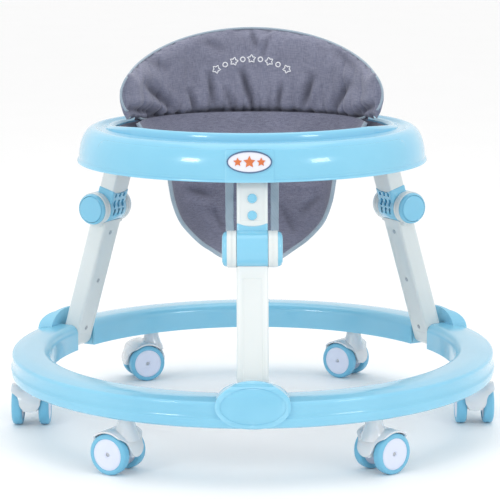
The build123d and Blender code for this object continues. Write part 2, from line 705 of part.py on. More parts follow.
def make_back_pad():
    """Curved backrest pad with an oval outline, inside the back of the tray opening."""
    tube = Cylinder(PAD_RADIUS, 2 * PAD_HEIGHT) - Cylinder(PAD_RADIUS - PAD_THICKNESS, 3 * PAD_HEIGHT)
    centre = PAD_TOP - PAD_HEIGHT / 2
    oval = extrude(Ellipse(PAD_WIDTH / 2, PAD_HEIGHT / 2), 2 * PAD_RADIUS)
    oval = Pos(0, 2 * PAD_RADIUS, centre) * Rot(90, 0, 0) * oval
    above = block((-PAD_WIDTH, PAD_WIDTH), (0, 2 * PAD_WIDTH), (PAD_BOTTOM, PAD_TOP + 5))
    return largest((Pos(0, 0, centre) * tube) & oval & above)


def pouch_section(inset):
    """Half outline of the bag: a funnel, an upright waist and a rounded belly."""
    waist = POUCH_WAIST_RADIUS - inset
    base = POUCH_BOTTOM_RADIUS - inset
    bottom = POUCH_BOTTOM + inset
    belly_top = POUCH_BOTTOM + POUCH_BELLY_DEPTH
    points = [(0, bottom), (base, bottom)]
    for step in range(1, 6):
        angle = radians(18 * step)
        points.append((base + (waist - base) * sin(angle), belly_top - (belly_top - bottom) * cos(angle)))
    points += [(waist, TRAY_BOTTOM - 6), (POUCH_RIM_RADIUS - inset, POUCH_TOP), (0, POUCH_TOP)]
    return points


def make_pouch():
    bag = turned(pouch_section(0)) - turned(pouch_section(POUCH_CLOTH))
    height = LEG_HOLE_TOP - LEG_HOLE_BOTTOM
    outline = extrude(RectangleRounded(LEG_HOLE_WIDTH, height, LEG_HOLE_CORNER), 2 * POUCH_RIM_RADIUS)
    for side in (-1, 1):
        x = side * (STRAP_WIDTH + LEG_HOLE_WIDTH) / 2
        bag -= Pos(x, 0, (LEG_HOLE_TOP + LEG_HOLE_BOTTOM) / 2) * Rot(90, 0, 0) * outline
    return largest(bag)


os.makedirs("parts", exist_ok=True)
make_base()
make_casters()
make_legs()
make_tray_pieces()
save(make_back_pad(), "seat_back_pad")
save(make_pouch(), "seat_pouch")
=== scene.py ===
import json
import math

import bpy
import numpy as np
from mathutils import Matrix, Vector, noise


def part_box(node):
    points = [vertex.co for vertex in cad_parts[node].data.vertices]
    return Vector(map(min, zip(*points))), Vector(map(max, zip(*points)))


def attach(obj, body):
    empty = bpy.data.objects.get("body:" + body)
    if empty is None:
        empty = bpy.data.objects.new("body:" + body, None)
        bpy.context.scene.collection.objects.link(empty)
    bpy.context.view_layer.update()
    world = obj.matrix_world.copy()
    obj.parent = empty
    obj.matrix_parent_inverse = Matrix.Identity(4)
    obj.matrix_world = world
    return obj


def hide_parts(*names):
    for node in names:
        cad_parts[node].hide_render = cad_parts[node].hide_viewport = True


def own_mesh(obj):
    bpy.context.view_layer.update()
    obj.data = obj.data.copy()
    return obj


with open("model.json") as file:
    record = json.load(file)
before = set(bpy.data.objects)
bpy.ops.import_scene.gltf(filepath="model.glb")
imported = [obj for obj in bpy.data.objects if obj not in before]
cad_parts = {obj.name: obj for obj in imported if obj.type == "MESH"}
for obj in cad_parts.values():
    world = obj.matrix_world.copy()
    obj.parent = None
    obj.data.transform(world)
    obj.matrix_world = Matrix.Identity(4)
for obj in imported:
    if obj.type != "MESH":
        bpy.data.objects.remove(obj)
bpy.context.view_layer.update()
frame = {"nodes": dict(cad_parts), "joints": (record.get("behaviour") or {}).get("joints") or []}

MM = 0.001
MERGE = 0.00002
LEGS = ("front", "left", "right")
CASTERS = ("right", "back_right", "back_left", "left", "front_left", "front_right")
joints = {joint["name"]: joint for joint in frame["joints"]}


# ------------------------------------------------------------------ camera and light

def add_camera():
    """Long lens, standing in front of the walker and looking a little down."""
    distance, height, pitch, roll, lens = 2.952, 0.763, 9.8, 0.2, 149.3
    data = bpy.data.cameras.new("camera")
    data.lens = lens
    camera = bpy.data.objects.new("camera", data)
    camera.location = (-0.0015, -distance, height)
    camera.rotation_euler = (math.radians(90 - pitch), math.radians(roll), 0)
    bpy.context.collection.objects.link(camera)
    bpy.context.scene.camera = camera


def add_area_light(name, place, aim, size, power, colour=(1, 1, 1)):
    data = bpy.data.lights.new(name, "AREA")
    data.shape = "RECTANGLE"
    data.size, data.size_y = size
    data.energy = power
    data.color = colour
    light = bpy.data.objects.new(name, data)
    light.location = place
    light.rotation_euler = (Vector(aim) - Vector(place)).to_track_quat("-Z", "Y").to_euler()
    bpy.context.collection.objects.link(light)


def add_lights():
    middle = (0, 0, 0.3)
    add_area_light("key_left", (-1.7, -2.0, 1.5), middle, (0.55, 0.4), 9)
    add_area_light("key_right", (1.9, -1.9, 1.4), middle, (0.6, 0.4), 7)
    add_area_light("top", (0, 0.2, 2.6), middle, (2.0, 2.0), 12)
    world = bpy.data.worlds.new("studio")
    world.use_nodes = True
    background = world.node_tree.nodes["Background"]
    background.inputs["Color"].default_value = (1.0, 1.0, 1.0, 1)
    background.inputs["Strength"].default_value = 0.97
    bpy.context.scene.world = world
    bpy.context.scene.view_settings.view_transform = "Standard"


add_camera()
add_lights()


# ------------------------------------------------------------------------- materials

def linear(red, green, blue):
    """Linear colour from red, green and blue between 0 and 255."""
    values = [c / 255 for c in (red, green, blue)]
    return [c / 12.92 if c <= 0.04045 else ((c + 0.055) / 1.055) ** 2.4 for c in values] + [1]


class Finish:
    """A material being built: its nodes, links and shader."""

    def __init__(self, name, roughness, **sockets):
        self.material = bpy.data.materials.new(name)
        self.material.use_nodes = True
        self.nodes = self.material.node_tree.nodes
        self.links = self.material.node_tree.links
        self.shader = self.nodes["Principled BSDF"]
        self.shader.inputs["Roughness"].default_value = roughness
        for socket, value in sockets.items():
            self.shader.inputs[socket.replace("_", " ")].default_value = value
        self.place = self.nodes.new("ShaderNodeTexCoord").outputs["Object"]

    def node(self, kind, inputs=None, **settings):
        """New node. Each of its inputs is linked to an output or set to a plain value."""
        node = self.nodes.new(kind)
        for name, value in settings.items():
            setattr(node, name, value)
        for socket, value in (inputs or {}).items():
            if hasattr(value, "links"):
                self.links.new(value, node.inputs[socket])
            else:
                node.inputs[socket].default_value = value
        return node

    def noise(self, scale, detail=3.0, stretch=(1, 1, 1)):
        mapping = self.node("ShaderNodeMapping", {"Scale": stretch, "Vector": self.place})
        inputs = {"Scale": scale, "Detail": detail, "Vector": mapping.outputs["Vector"]}
        return self.node("ShaderNodeTexNoise", inputs).outputs["Fac"]

    def bands(self, direction, scale, distortion=0.0):
        inputs = {"Scale": scale, "Distortion": distortion, "Vector": self.place}
        wave = self.node("ShaderNodeTexWave", inputs, wave_type="BANDS", bands_direction=direction)
        return wave.outputs["Fac"]

    def ramp(self, value, low, high, start=0.3, end=0.7):
        ramp = self.node("ShaderNodeValToRGB", {"Fac": value})
        for stop, place, colour in zip(ramp.color_ramp.elements, (start, end), (low, high)):
            stop.position, stop.color = place, colour
        return ramp.outputs["Color"]

    def mix(self, share, first, second, blend="MIX"):
        inputs = {0: share, 6: first, 7: second}
        return self.node("ShaderNodeMix", inputs, data_type="RGBA", blend_type=blend).outputs[2]

    def math(self, operation, first, second):
        return self.node("ShaderNodeMath", {0: first, 1: second}, operation=operation).outputs[0]

    def colour(self, value):
        self.links.new(value, self.shader.inputs["Base Color"])

    def roughness(self, value, low, high):
        spread = self.node("ShaderNodeMapRange", {"Value": value, "To Min": low, "To Max": high})
        self.links.new(spread.outputs["Result"], self.shader.inputs["Roughness"])

    def bump(self, height, strength, distance):
        inputs = {"Strength": strength, "Distance": distance, "Height": height}
        normal = self.node("ShaderNodeBump", inputs).outputs["Normal"]
        self.links.new(normal, self.shader.inputs["Normal"])

    def painted_edge_highlight(self, base, highlight_colour, share):
        """Painted highlight: lighter colour on sharp edges, found from how sharply the surface
        turns.
        """
        edges = self.ramp(
            self.node("ShaderNodeNewGeometry").outputs["Pointiness"],
            (0, 0, 0, 1), (share, share, share, 1), 0.53, 0.75,
        )
        return self.mix(edges, base, highlight_colour)


def moulded_plastic(name, main, second, highlight_colour, roughness, coat, subsurface):
    """Injection-moulded plastic: cloudy colour, faint flow lines and fine orange peel."""
    main, second, highlight_colour = linear(*main), linear(*second), linear(*highlight_colour)
    finish = Finish(name, roughness, Coat_Weight=coat, Coat_Roughness=0.05)
    if subsurface:
        finish.shader.inputs["Subsurface Weight"].default_value = subsurface
        finish.shader.inputs["Subsurface Radius"].default_value = (0.004, 0.005, 0.006)
        finish.shader.inputs["Subsurface Scale"].default_value = 1.0
    clouds = finish.ramp(finish.noise(6, 4), main, second, 0.35, 0.7)
    # painted highlight: sharp edges lightened towards the highlight colour
    finish.colour(finish.painted_edge_highlight(clouds, highlight_colour, 0.35))
    finish.roughness(finish.noise(30, 5, (1, 1, 3)), roughness - 0.06, roughness + 0.08)
    finish.bump(finish.noise(900, 2), 0.06, 0.0003)
    return finish.material


def chambray(name, light, dark, sheen=0.2):
    """Plain-woven two-tone cloth: crossing threads, with slubs that run both ways, and painted
    shade in its folds.
    """
    finish = Finish(name, 0.88, Sheen_Weight=sheen, Sheen_Roughness=0.5)
    across = finish.noise(760, 2, (0.16, 0.16, 1.5))
    along = finish.noise(760, 2, (1.5, 1.5, 0.16))
    halves = [finish.math("MULTIPLY", run, 0.5) for run in (across, along)]
    slubs = finish.math("ADD", *halves)
    threads = finish.ramp(slubs, dark, light, 0.36, 0.62)
    dim, bright = (0.92, 0.92, 0.92, 1), (1.05, 1.05, 1.05, 1)
    mottle = finish.ramp(finish.noise(18, 4), dim, bright, 0.35, 0.65)
    cloth = finish.mix(1.0, threads, mottle, "MULTIPLY")
    # painted shade: the cloth is darkened towards a dim copy of its dark colour where the fold
    # attribute is set
    fold = finish.node("ShaderNodeAttribute", attribute_name="fold").outputs["Fac"]
    finish.colour(finish.mix(fold, cloth, [c * 0.42 for c in dark[:3]] + [1]))
    finish.roughness(slubs, 0.82, 0.95)
    weave = 0
    for direction in ("X", "Z"):
        weave = finish.math("ADD", finish.bands(direction, 260), weave)
    height = finish.math("ADD", finish.math("MULTIPLY", weave, 0.3), slubs)
    finish.bump(height, 0.4, 0.0005)
    return finish.material


def woven_tape(name, light, dark):
    """Narrow bias tape for piping and bindings."""
    finish = Finish(name, 0.8, Sheen_Weight=0.3, Sheen_Roughness=0.5)
    rib = finish.bands("DIAGONAL", 160, 0.4)
    shade = finish.mix(finish.noise(60, 3), dark, light)
    raised_rib = finish.ramp(rib, (0.0, 0.0, 0.0, 1), (0.25, 0.25, 0.25, 1))
    finish.colour(finish.mix(raised_rib, shade, light))
    finish.bump(rib, 0.4, 0.0004)
    return finish.material


def metal(name, tint):
    finish = Finish(name, 0.32, Metallic=1.0)
    brushed = finish.noise(90, 4, (1, 1, 14))
    finish.colour(finish.ramp(brushed, [c * 0.8 for c in tint[:3]] + [1], tint, 0.3, 0.7))
    finish.roughness(brushed, 0.24, 0.42)
    finish.bump(brushed, 0.1, 0.0002)
    return finish.material


def floor_finish():
    finish = Finish("pale_floor", 0.6)
    finish.colour(finish.ramp(finish.noise(3, 3), linear(254, 254, 254), linear(255, 255, 255)))
    finish.bump(finish.noise(240, 3), 0.04, 0.0004)
    return finish.material


# name, then main and second colours, the edge colour of the painted highlight, roughness, coat and
# glow under the surface
BLUE, TYRE_BLUE, WHITE, WHEEL_WHITE, MILKY, BADGE_FACE, BADGE_EDGE, BADGE_MARK = [
    moulded_plastic(*look) for look in (
        ("sky_blue_plastic", (124, 196, 226), (136, 205, 233), (162, 220, 244), 0.2, 0.6, 0.1),
        ("blue_tread", (108, 182, 214), (122, 194, 224), (156, 210, 230), 0.42, 0.15, 0.0),
        ("warm_white_plastic", (218, 225, 225), (227, 233, 233), (246, 248, 248), 0.34, 0.25, 0.1),
        ("wheel_disc_plastic", (216, 224, 244), (226, 232, 248), (244, 246, 252), 0.34, 0.25, 0.1),
        ("milky_clear_plastic", (238, 243, 249), (244, 248, 252), (252, 253, 255), 0.2, 0.7, 0.2),
        ("badge_face", (226, 228, 240), (234, 236, 246), (248, 248, 252), 0.22, 0.6, 0.0),
        ("badge_border", (66, 96, 132), (76, 108, 146), (112, 144, 178), 0.3, 0.4, 0.0),
        ("badge_mark", (206, 106, 52), (220, 122, 62), (236, 160, 104), 0.35, 0.3, 0.0),
    )
]
MILKY.node_tree.nodes["Principled BSDF"].inputs["Transmission Weight"].default_value = 0.22
STEEL = metal("zinc_plated_steel", linear(190, 194, 200))
GREY_CLOTH = chambray("grey_chambray", linear(147, 149, 168), linear(116, 118, 139))
# painted shade: the grey chambray made darker for the sling, which hangs in shade under the tray
SEAT_CLOTH_IN_SHADE = chambray("grey_chambray_in_shade", linear(136, 138, 157), linear(104, 106, 127))
TAPE = woven_tape("pale_binding", linear(172, 188, 200), linear(146, 164, 178))
THREAD = woven_tape("white_thread", linear(250, 250, 252), linear(232, 234, 240))


# -------------------------------------------------------------------- modelling tools

def select_only(obj):
    bpy.ops.object.select_all(action="DESELECT")
    obj.select_set(True)
    bpy.context.view_layer.objects.active = obj


def modified(obj, kind, **settings):
    """Add a modifier, set it and apply it."""
    select_only(obj)
    modifier = obj.modifiers.new(kind.lower(), kind)
    for name, value in settings.items():
        setattr(modifier, name, value)
    bpy.ops.object.modifier_apply(modifier=modifier.name)
    return obj


def rounded(obj, width, segments=3, sharper_than=50):
    """Bevel the edges that turn by more than an angle. The width is in millimetres."""
    return modified(
        obj, "BEVEL", width=width * MM, segments=segments,
        limit_method="ANGLE", angle_limit=math.radians(sharper_than),
    )


def joined(obj, other):
    select_only(obj)
    other.select_set(True)
    bpy.ops.object.join()
    return obj


def cut(obj, tool, operation="DIFFERENCE"):
    """Cut obj with tool, or join the two, and throw the tool away."""
    modified(obj, "BOOLEAN", object=tool, operation=operation, solver="EXACT")
    bpy.data.objects.remove(tool)
    return obj


def bar(name, low, high, bevel=0.0, segments=3):
    """Box between two corners, in millimetres, with rounded edges."""
    bpy.ops.object.select_all(action="DESELECT")
    size = [(b - a) * MM for a, b in zip(low, high)]
    place = [(a + b) / 2 * MM for a, b in zip(low, high)]
    bpy.ops.mesh.primitive_cube_add(size=1, location=place, scale=size)
    obj = bpy.context.active_object
    obj.name = name
    bpy.ops.object.transform_apply(location=True, rotation=True, scale=True)
    if bevel:
        modified(obj, "BEVEL", width=bevel * MM, segments=segments, limit_method="ANGLE")
    return obj


def cylinder(name, radius, depth, place, turn, sides):
    """Cylinder with its sizes and place in millimetres."""
    bpy.ops.object.select_all(action="DESELECT")
    bpy.ops.mesh.primitive_cylinder_add(
        vertices=sides, radius=radius * MM, depth=depth * MM,
        location=[c * MM for c in place], rotation=turn,
    )
    obj = bpy.context.active_object
    obj.name = name
    bpy.ops.object.transform_apply(location=True, rotation=True, scale=True)
    return obj


def traced(name, points, closed=True):
    """Outline in the XZ plane, traced from point to point, in millimetres."""
    bpy.ops.object.select_all(action="DESELECT")
    first = points[0]
    bpy.ops.mesh.primitive_plane_add(size=0.001, location=(first[0] * MM, 0, first[1] * MM))
    obj = bpy.context.active_object
    obj.name = name
    bpy.ops.object.transform_apply(location=True, rotation=True, scale=True)
    bpy.ops.object.mode_set(mode="EDIT")
    bpy.ops.mesh.select_all(action="SELECT")
    bpy.ops.mesh.merge(type="CENTER")
    path = list(points[1:]) + ([first] if closed else [])
    last = first
    for point in path:
        step = ((point[0] - last[0]) * MM, 0, (point[1] - last[1]) * MM)
        bpy.ops.mesh.extrude_region_move(TRANSFORM_OT_translate={"value": step})
        last = point
    bpy.ops.mesh.select_all(action="SELECT")
    bpy.ops.mesh.remove_doubles(threshold=MERGE)
    return obj


def drawn_out(name, points, depth):
    """Slab with a traced outline, drawn out along Y by a depth in millimetres."""
    obj = traced(name, points)
    bpy.ops.mesh.select_all(action="SELECT")
    bpy.ops.mesh.edge_face_add()
    bpy.ops.mesh.extrude_region_move(TRANSFORM_OT_translate={"value": (0, depth * MM, 0)})
    bpy.ops.object.mode_set(mode="OBJECT")
    return cleaned(obj, outward=True)


def spun(name, points, steps=96, closed=True):
    """Turned piece about Z, from an outline of (radius, height) in millimetres."""
    obj = traced(name, points, closed)
    bpy.ops.mesh.select_all(action="SELECT")
    bpy.ops.mesh.spin(steps=steps, angle=2 * math.pi, center=(0, 0, 0), axis=(0, 0, 1))
    bpy.ops.object.mode_set(mode="OBJECT")
    return cleaned(obj, MERGE, loose=True, outward=True)


def placed(obj, matrix):
    """Move a finished mesh by a matrix, with the object left at the origin."""
    obj.data.transform(matrix)
    obj.data.update()
    return obj


def cleaned(obj, merge=0.0, loose=False, outward=False):
    """Merge doubled points, drop loose ones and turn the faces outward, as asked."""
    select_only(obj)
    bpy.ops.object.mode_set(mode="EDIT")
    bpy.ops.mesh.select_all(action="SELECT")
    if merge:
        bpy.ops.mesh.remove_doubles(threshold=merge)
    if loose:
        bpy.ops.mesh.delete_loose()
        bpy.ops.mesh.select_all(action="SELECT")
    if outward:
        bpy.ops.mesh.normals_make_consistent(inside=False)
    bpy.ops.object.mode_set(mode="OBJECT")
    return obj


def coordinates(obj):
    points = np.empty(len(obj.data.vertices) * 3)
    obj.data.vertices.foreach_get("co", points)
    return points.reshape(-1, 3)


def set_coordinates(obj, points):
    obj.data.vertices.foreach_set("co", points.ravel())
    obj.data.update()


def disc(name, outline, low_side, centre, steps=64):
    """Turned disc whose axis is Y. The outline is (radius, distance along Y)."""
    obj = spun(name, outline, steps)
    turn = Matrix.Rotation(math.radians(-90), 4, "X")
    if low_side:
        turn = Matrix.Rotation(math.radians(90), 4, "X")
    return placed(obj, Matrix.Translation([c * MM for c in centre]) @ turn)


def copy_of(obj, name):
    new = obj.copy()
    new.data = obj.data.copy()
    new.name = name
    bpy.context.collection.objects.link(new)
    return new


def done(obj, material, body, replaces=(), angle=38):
    """Shade, paint and mount a finished piece."""
    select_only(obj)
    bpy.ops.object.shade_smooth_by_angle(angle=math.radians(angle))
    obj.data.materials.clear()
    obj.data.materials.append(material)
    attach(obj, body)
    if replaces:
        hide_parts(*replaces)
    return obj


def arc(centre, radius, start, end, steps):
    """Points of an arc, angles in degrees."""
    points = []
    for i in range(steps + 1):
        angle = math.radians(start + (end - start) * i / steps)
        points.append((centre[0] + radius * math.cos(angle), centre[1] + radius * math.sin(angle)))
    return points


# --------------------------------------------------------------------------- base ring

ring_low, ring_high = [corner * 1000 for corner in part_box("base_ring_shell")]
RING_RADIUS = ring_high.x
RING_BOTTOM, RING_TOP = ring_low.z, ring_high.z
RING_INNER = RING_RADIUS - 56
RING_WALL = 3
SLOT_HALF = 21.6
SLOT_BEHIND_FOOT = 15.5


def ring_surface(inset):
    """Section of the ring's skin, from its outer foot over the top to its inner foot."""
    outer, inner = RING_RADIUS - inset, RING_INNER + inset
    top, low = RING_TOP - inset, RING_BOTTOM
    points = [(outer - 5, low)]
    points += [(outer - 1.4, low + 2.6), (outer - 0.3, low + 7), (outer, low + 10.5)]
    points += [(outer - 0.2, low + 13.4), (outer - 1.6, low + 15), (outer - 2.6, low + 17.5)]
    points += [(outer - 3.0, low + 22), (outer - 2.7, low + 27), (outer - 1.9, low + 30)]
    points += arc((outer - 6.2, top - 7), 4.4, 10, 80, 5)
    points += [(outer - 9, top - 2.2), (outer - 14, top - 1.2)]
    points += [(outer - 20, top - 0.2), (outer - 28, top)]
    round_off = 13 - inset
    points += arc((inner + round_off, top - round_off), round_off, 90, 180, 8)
    return points + [(inner, low)]


def leg_turn(name):
    """Azimuth of a leg, from where its foot pivot is."""
    x, y, _ = joints[f"fold_foot_{name}"]["pos_m"]
    return math.atan2(y, x)


def make_ring():
    outline = ring_surface(0) + ring_surface(RING_WALL)[::-1]
    ring = spun("ring_moulding", outline, 180)
    for leg in LEGS:
        foot = Vector(joints[f"fold_foot_{leg}"]["pos_m"]).to_2d().length * 1000
        low = (RING_INNER - 20, -SLOT_HALF, RING_BOTTOM - 5)
        slot = bar("slot", low, (foot + SLOT_BEHIND_FOOT, SLOT_HALF, RING_TOP + 5))
        cut(ring, placed(slot, Matrix.Rotation(leg_turn(leg), 4, "Z")))
    done(ring, BLUE, "base", ["base_ring_shell"], 32)


def make_foot_covers():
    """Oval covers over the three feet: a rounded border round a slightly sunk middle."""
    low, high = [corner * 1000 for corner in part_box("foot_cover_front")]
    back = 326.5
    face = -low.y
    top = high.z
    section = [(back, RING_BOTTOM), (face - 4, RING_BOTTOM), (face - 0.8, RING_BOTTOM + 3)]
    section += [(face, RING_BOTTOM + 8), (face, RING_BOTTOM + 15), (face - 1.2, RING_TOP - 10)]
    section += arc((face - 21.5, RING_TOP - 0.5), 19.5, 12, 78, 7)
    section += [(face - 24, top + 1.6), (back, top + 2)]
    cover = spun("foot_cover", section, 240)
    centre = Vector((0, 0, (RING_BOTTOM + top) / 2))

    def oval_plug(margin):
        bpy.ops.object.select_all(action="DESELECT")
        bpy.ops.mesh.primitive_cylinder_add(
            vertices=128, radius=1, depth=1, location=(0, -face * MM, centre.z * MM),
            rotation=(math.radians(90), 0, 0),
        )
        plug = bpy.context.active_object
        plug.scale = ((high.x - margin) * MM, ((top - RING_BOTTOM) / 2 - margin) * MM, 0.14)
        bpy.ops.object.transform_apply(location=True, rotation=True, scale=True)
        return plug

    cut(cover, oval_plug(0), "INTERSECT")
    sunk = [(RING_RADIUS - 50, RING_BOTTOM - 20)] + [(r - 1.1, z) for r, z in section[1:-1]]
    middle = cut(oval_plug(6.5), spun("sunk", sunk + [(RING_RADIUS - 50, top + 0.9)], 240))
    cut(cover, middle)
    cut(cover, spun("ring_body", ring_surface(0), 180))
    rounded(cover, 1.0, sharper_than=40)
    for leg in LEGS:
        turn = Matrix.Rotation(leg_turn(leg) - leg_turn("front"), 4, "Z")
        new = placed(copy_of(cover, f"foot_cover_{leg}_shell"), turn)
        done(new, BLUE, "base", [f"foot_cover_{leg}"], 30)
    bpy.data.objects.remove(cover)


make_ring()
make_foot_covers()


# ------------------------------------------------------------------------------- legs

foot_pin = Vector(joints["fold_foot_front"]["pos_m"]) / MM
tray_pin = Vector(joints["tray_pivot_front"]["pos_m"]) / MM
LEG_TILT = math.atan2(tray_pin.y - foot_pin.y, tray_pin.z - foot_pin.z)


def leg_frame(leg):
    """Frame at one leg's foot: X outward, Y along the pins, Z up the leg."""
    place = Matrix.Translation((-foot_pin.y * MM, 0, foot_pin.z * MM))
    return Matrix.Rotation(leg_turn(leg), 4, "Z") @ place @ Matrix.Rotation(-LEG_TILT, 4, "Y")


hub = leg_frame("front").inverted() @ Vector(joints["fold_knee_front"]["pos_m"]) / MM
HUB_OFFSET, HUB_ALONG = hub.x, hub.z
PIVOT_ALONG = math.hypot(tray_pin.y - foot_pin.y, tray_pin.z - foot_pin.z)
LEG_HALF, LEG_DEPTH = 21, 13.5
BARREL_HALF, HUB_RADIUS = 20.5, 24.5
CHEEK_LOW, CHEEK_HIGH = 20.85, 33.65
SLEEVE_TOP = HUB_ALONG + HUB_RADIUS + 9.5
SLEEVE_DIP = 5


def roller(name, radius, low, high, centre=(0, 0), bevel=0.0, sides=72):
    """Cylinder along Y between two distances, centred at (x, z), with rounded rims."""
    middle = (centre[0], (low + high) / 2, centre[1])
    obj = cylinder(name, radius, high - low, middle, (math.pi / 2, 0, 0), sides)
    if bevel:
        rounded(obj, bevel)
    return obj


def on_each(names, frame_of, piece, material, body, slot, node, angle=38):
    """Copy a piece made in its own frame onto every leg or caster."""
    for name in names:
        new = placed(copy_of(piece, f"{piece.name}_{name}"), frame_of(name))
        done(new, material, body.format(name), [node.format(name)], angle)
    bpy.data.objects.remove(piece)


def on_each_leg(*piece):
    on_each(LEGS, leg_frame, *piece)


def mirrored_pair(name, outline, centre, steps=80):
    """Two discs with one outline, facing away from each other along Y."""
    x, z = centre
    near, far = [disc(name, outline, low_side, (x, 0, z), steps) for low_side in (False, True)]
    return joined(near, far)


def make_lower_leg():
    """White moulding: rounded foot, sunk face panel, saddle and two cheeks round the hinge."""
    centre = (HUB_OFFSET, HUB_ALONG)
    high = (LEG_DEPTH, LEG_HALF, HUB_ALONG - 6)
    leg = bar("leg_moulding", (-LEG_DEPTH, -LEG_HALF, 0), high, 3.2, 4)
    cut(leg, roller("foot_round", LEG_DEPTH, -LEG_HALF, LEG_HALF, bevel=3), "UNION")
    high = (LEG_DEPTH + 9, 13, HUB_ALONG - 40)
    cut(leg, bar("face_panel", (LEG_DEPTH - 0.7, -13, 14), high, 1.2))
    high = (-LEG_DEPTH + 0.6, 15, HUB_ALONG - 30)
    cut(leg, bar("inner_panel", (-LEG_DEPTH - 9, -15, 12), high, 1.0))
    saddle_low = HUB_ALONG - HUB_RADIUS + 1.5
    saddle = bar("saddle", (-10.5, -31, saddle_low), (16.5, 31, saddle_low + 9), 3.0, 4)
    cut(leg, saddle, "UNION")
    cut(leg, roller("barrel_space", HUB_RADIUS + 0.4, -CHEEK_LOW, CHEEK_LOW, centre))
    for side in (-1, 1):
        low, high = sorted((side * CHEEK_LOW, side * CHEEK_HIGH))
        cut(leg, roller("cheek", HUB_RADIUS, low, high, centre, 1.4), "UNION")
        seam_low, seam_high = sorted((side * 26.6, side * 27.3))
        groove = roller("seam", HUB_RADIUS + 2, seam_low, seam_high, centre)
        cut(groove, roller("seam_floor", HUB_RADIUS - 0.7, seam_low - 1, seam_high + 1, centre))
        cut(leg, groove)
    for i in range(3):
        place = 20 + i * (HUB_ALONG - 55) / 2
        cut(leg, cylinder("screw_dimple", 3.6, 3, (-LEG_DEPTH, 0, place), (0, math.pi / 2, 0), 24))
    on_each_leg(leg, WHITE, "lower_leg_{}", "white_plastic", "lower_leg_{}", 32)


def make_hinge_caps():
    """Blue rings on the cheeks, rounded over towards the buttons."""
    outline = [(19.95, 33.6), (23.2, 33.6), (23.2, 34.4), (22.9, 35.9)]
    outline += [(22.1, 37.4), (21.2, 38.4), (20.5, 38.8), (19.95, 38.6)]
    caps = mirrored_pair("hinge_ring", outline, (HUB_OFFSET, HUB_ALONG), 72)
    on_each_leg(caps, BLUE, "lower_leg_{}", "blue_plastic", "hinge_caps_{}", 30)


def make_buttons():
    """Push buttons with a softly dished face inside a rounded rim."""
    outline = [(0.0, 39.5), (8, 39.55), (14, 39.75), (16.4, 40.0), (17.8, 39.9)]
    outline += [(18.9, 39.3), (19.5, 38.3), (19.6, 36.65), (0.0, 36.65)]
    for side, low_side in (("a", False), ("b", True)):
        button = disc("press", outline, low_side, (HUB_OFFSET, 0, HUB_ALONG), 72)
        button.name = f"push_button_{side}"
        node = "hinge_button_{}_" + side
        on_each_leg(button, BLUE, node, "blue_plastic", node, 30)


def make_sleeve():
    """Blue hinge barrel with the strut's socket, and rows of slanted slots on its inner face."""
    centre = (HUB_OFFSET, HUB_ALONG)
    low = (-LEG_DEPTH, -BARREL_HALF, HUB_ALONG - 8)
    sleeve = bar("socket_body", low, (LEG_DEPTH, BARREL_HALF, SLEEVE_TOP), 2.4, 4)
    barrel = roller("barrel", HUB_RADIUS, -BARREL_HALF, BARREL_HALF, centre, 0.8)
    cut(sleeve, barrel, "UNION")
    cut(sleeve, dip_tool())
    pocket = bar("pocket", (-7.7, -15.2, SLEEVE_TOP - 22), (7.7, 15.2, SLEEVE_TOP + 5))
    cut(sleeve, pocket)
    cut(sleeve, roller("bore", 5.1, -BARREL_HALF - 1, BARREL_HALF + 1, centre, sides=32))
    for row, height in enumerate((10.5, 10.5, 6)):
        for column in (-1, 0, 1):
            slot = bar("slot", (-4.2, -2.7, -height / 2), (4.2, 2.7, height / 2), 1.2, 2)
            lean = Matrix.Rotation(math.radians(14), 4, "X")
            height_up = HUB_ALONG + 1 + row * 12.5
            place = Matrix.Translation((-LEG_DEPTH * MM, column * 10.8 * MM, height_up * MM))
            cut(sleeve, placed(slot, place @ lean))
    sleeve.name = "hinge_barrel"
    on_each_leg(sleeve, BLUE, "upper_leg_{}", "blue_plastic", "hinge_sleeve_{}", 32)


def dip_tool():
    """Cylinder that hollows the top edge of the socket in a shallow curve."""
    radius = (BARREL_HALF ** 2 + SLEEVE_DIP ** 2) / (2 * SLEEVE_DIP)
    middle = (0, 0, SLEEVE_TOP - SLEEVE_DIP + radius)
    return cylinder("dip", radius, 60, middle, (0, math.pi / 2, 0), 160)


def make_strut():
    """White strut: curved foot in the socket, sunk face panel and a rounded top on its pin."""
    depth = 12.5
    low = (-depth, -BARREL_HALF, SLEEVE_TOP - SLEEVE_DIP - 0.5)
    strut = bar("strut_moulding", low, (depth, BARREL_HALF, PIVOT_ALONG), 2.6, 4)
    foot_block = bar("foot_block", (-30, -30, SLEEVE_TOP - 12), (30, 30, SLEEVE_TOP + 0.2))
    cut(foot_block, dip_tool())
    cut(strut, foot_block)
    pivot = (0, PIVOT_ALONG)
    cut(strut, roller("top_round", depth, -BARREL_HALF, BARREL_HALF, pivot, 1.5), "UNION")
    cut(strut, bar("tenon", (-7.4, -14.9, SLEEVE_TOP - 21.5), (7.4, 14.9, SLEEVE_TOP + 2)), "UNION")
    high = (depth + 6, 16, PIVOT_ALONG - 4)
    cut(strut, bar("panel", (depth - 0.7, -16, SLEEVE_TOP + 3), high, 0.8))
    cut(strut, roller("pin_hole", 9.5, -BARREL_HALF - 1, BARREL_HALF + 1, pivot, sides=48))
    on_each_leg(strut, WHITE, "upper_leg_{}", "white_plastic", "upper_strut_{}", 32)


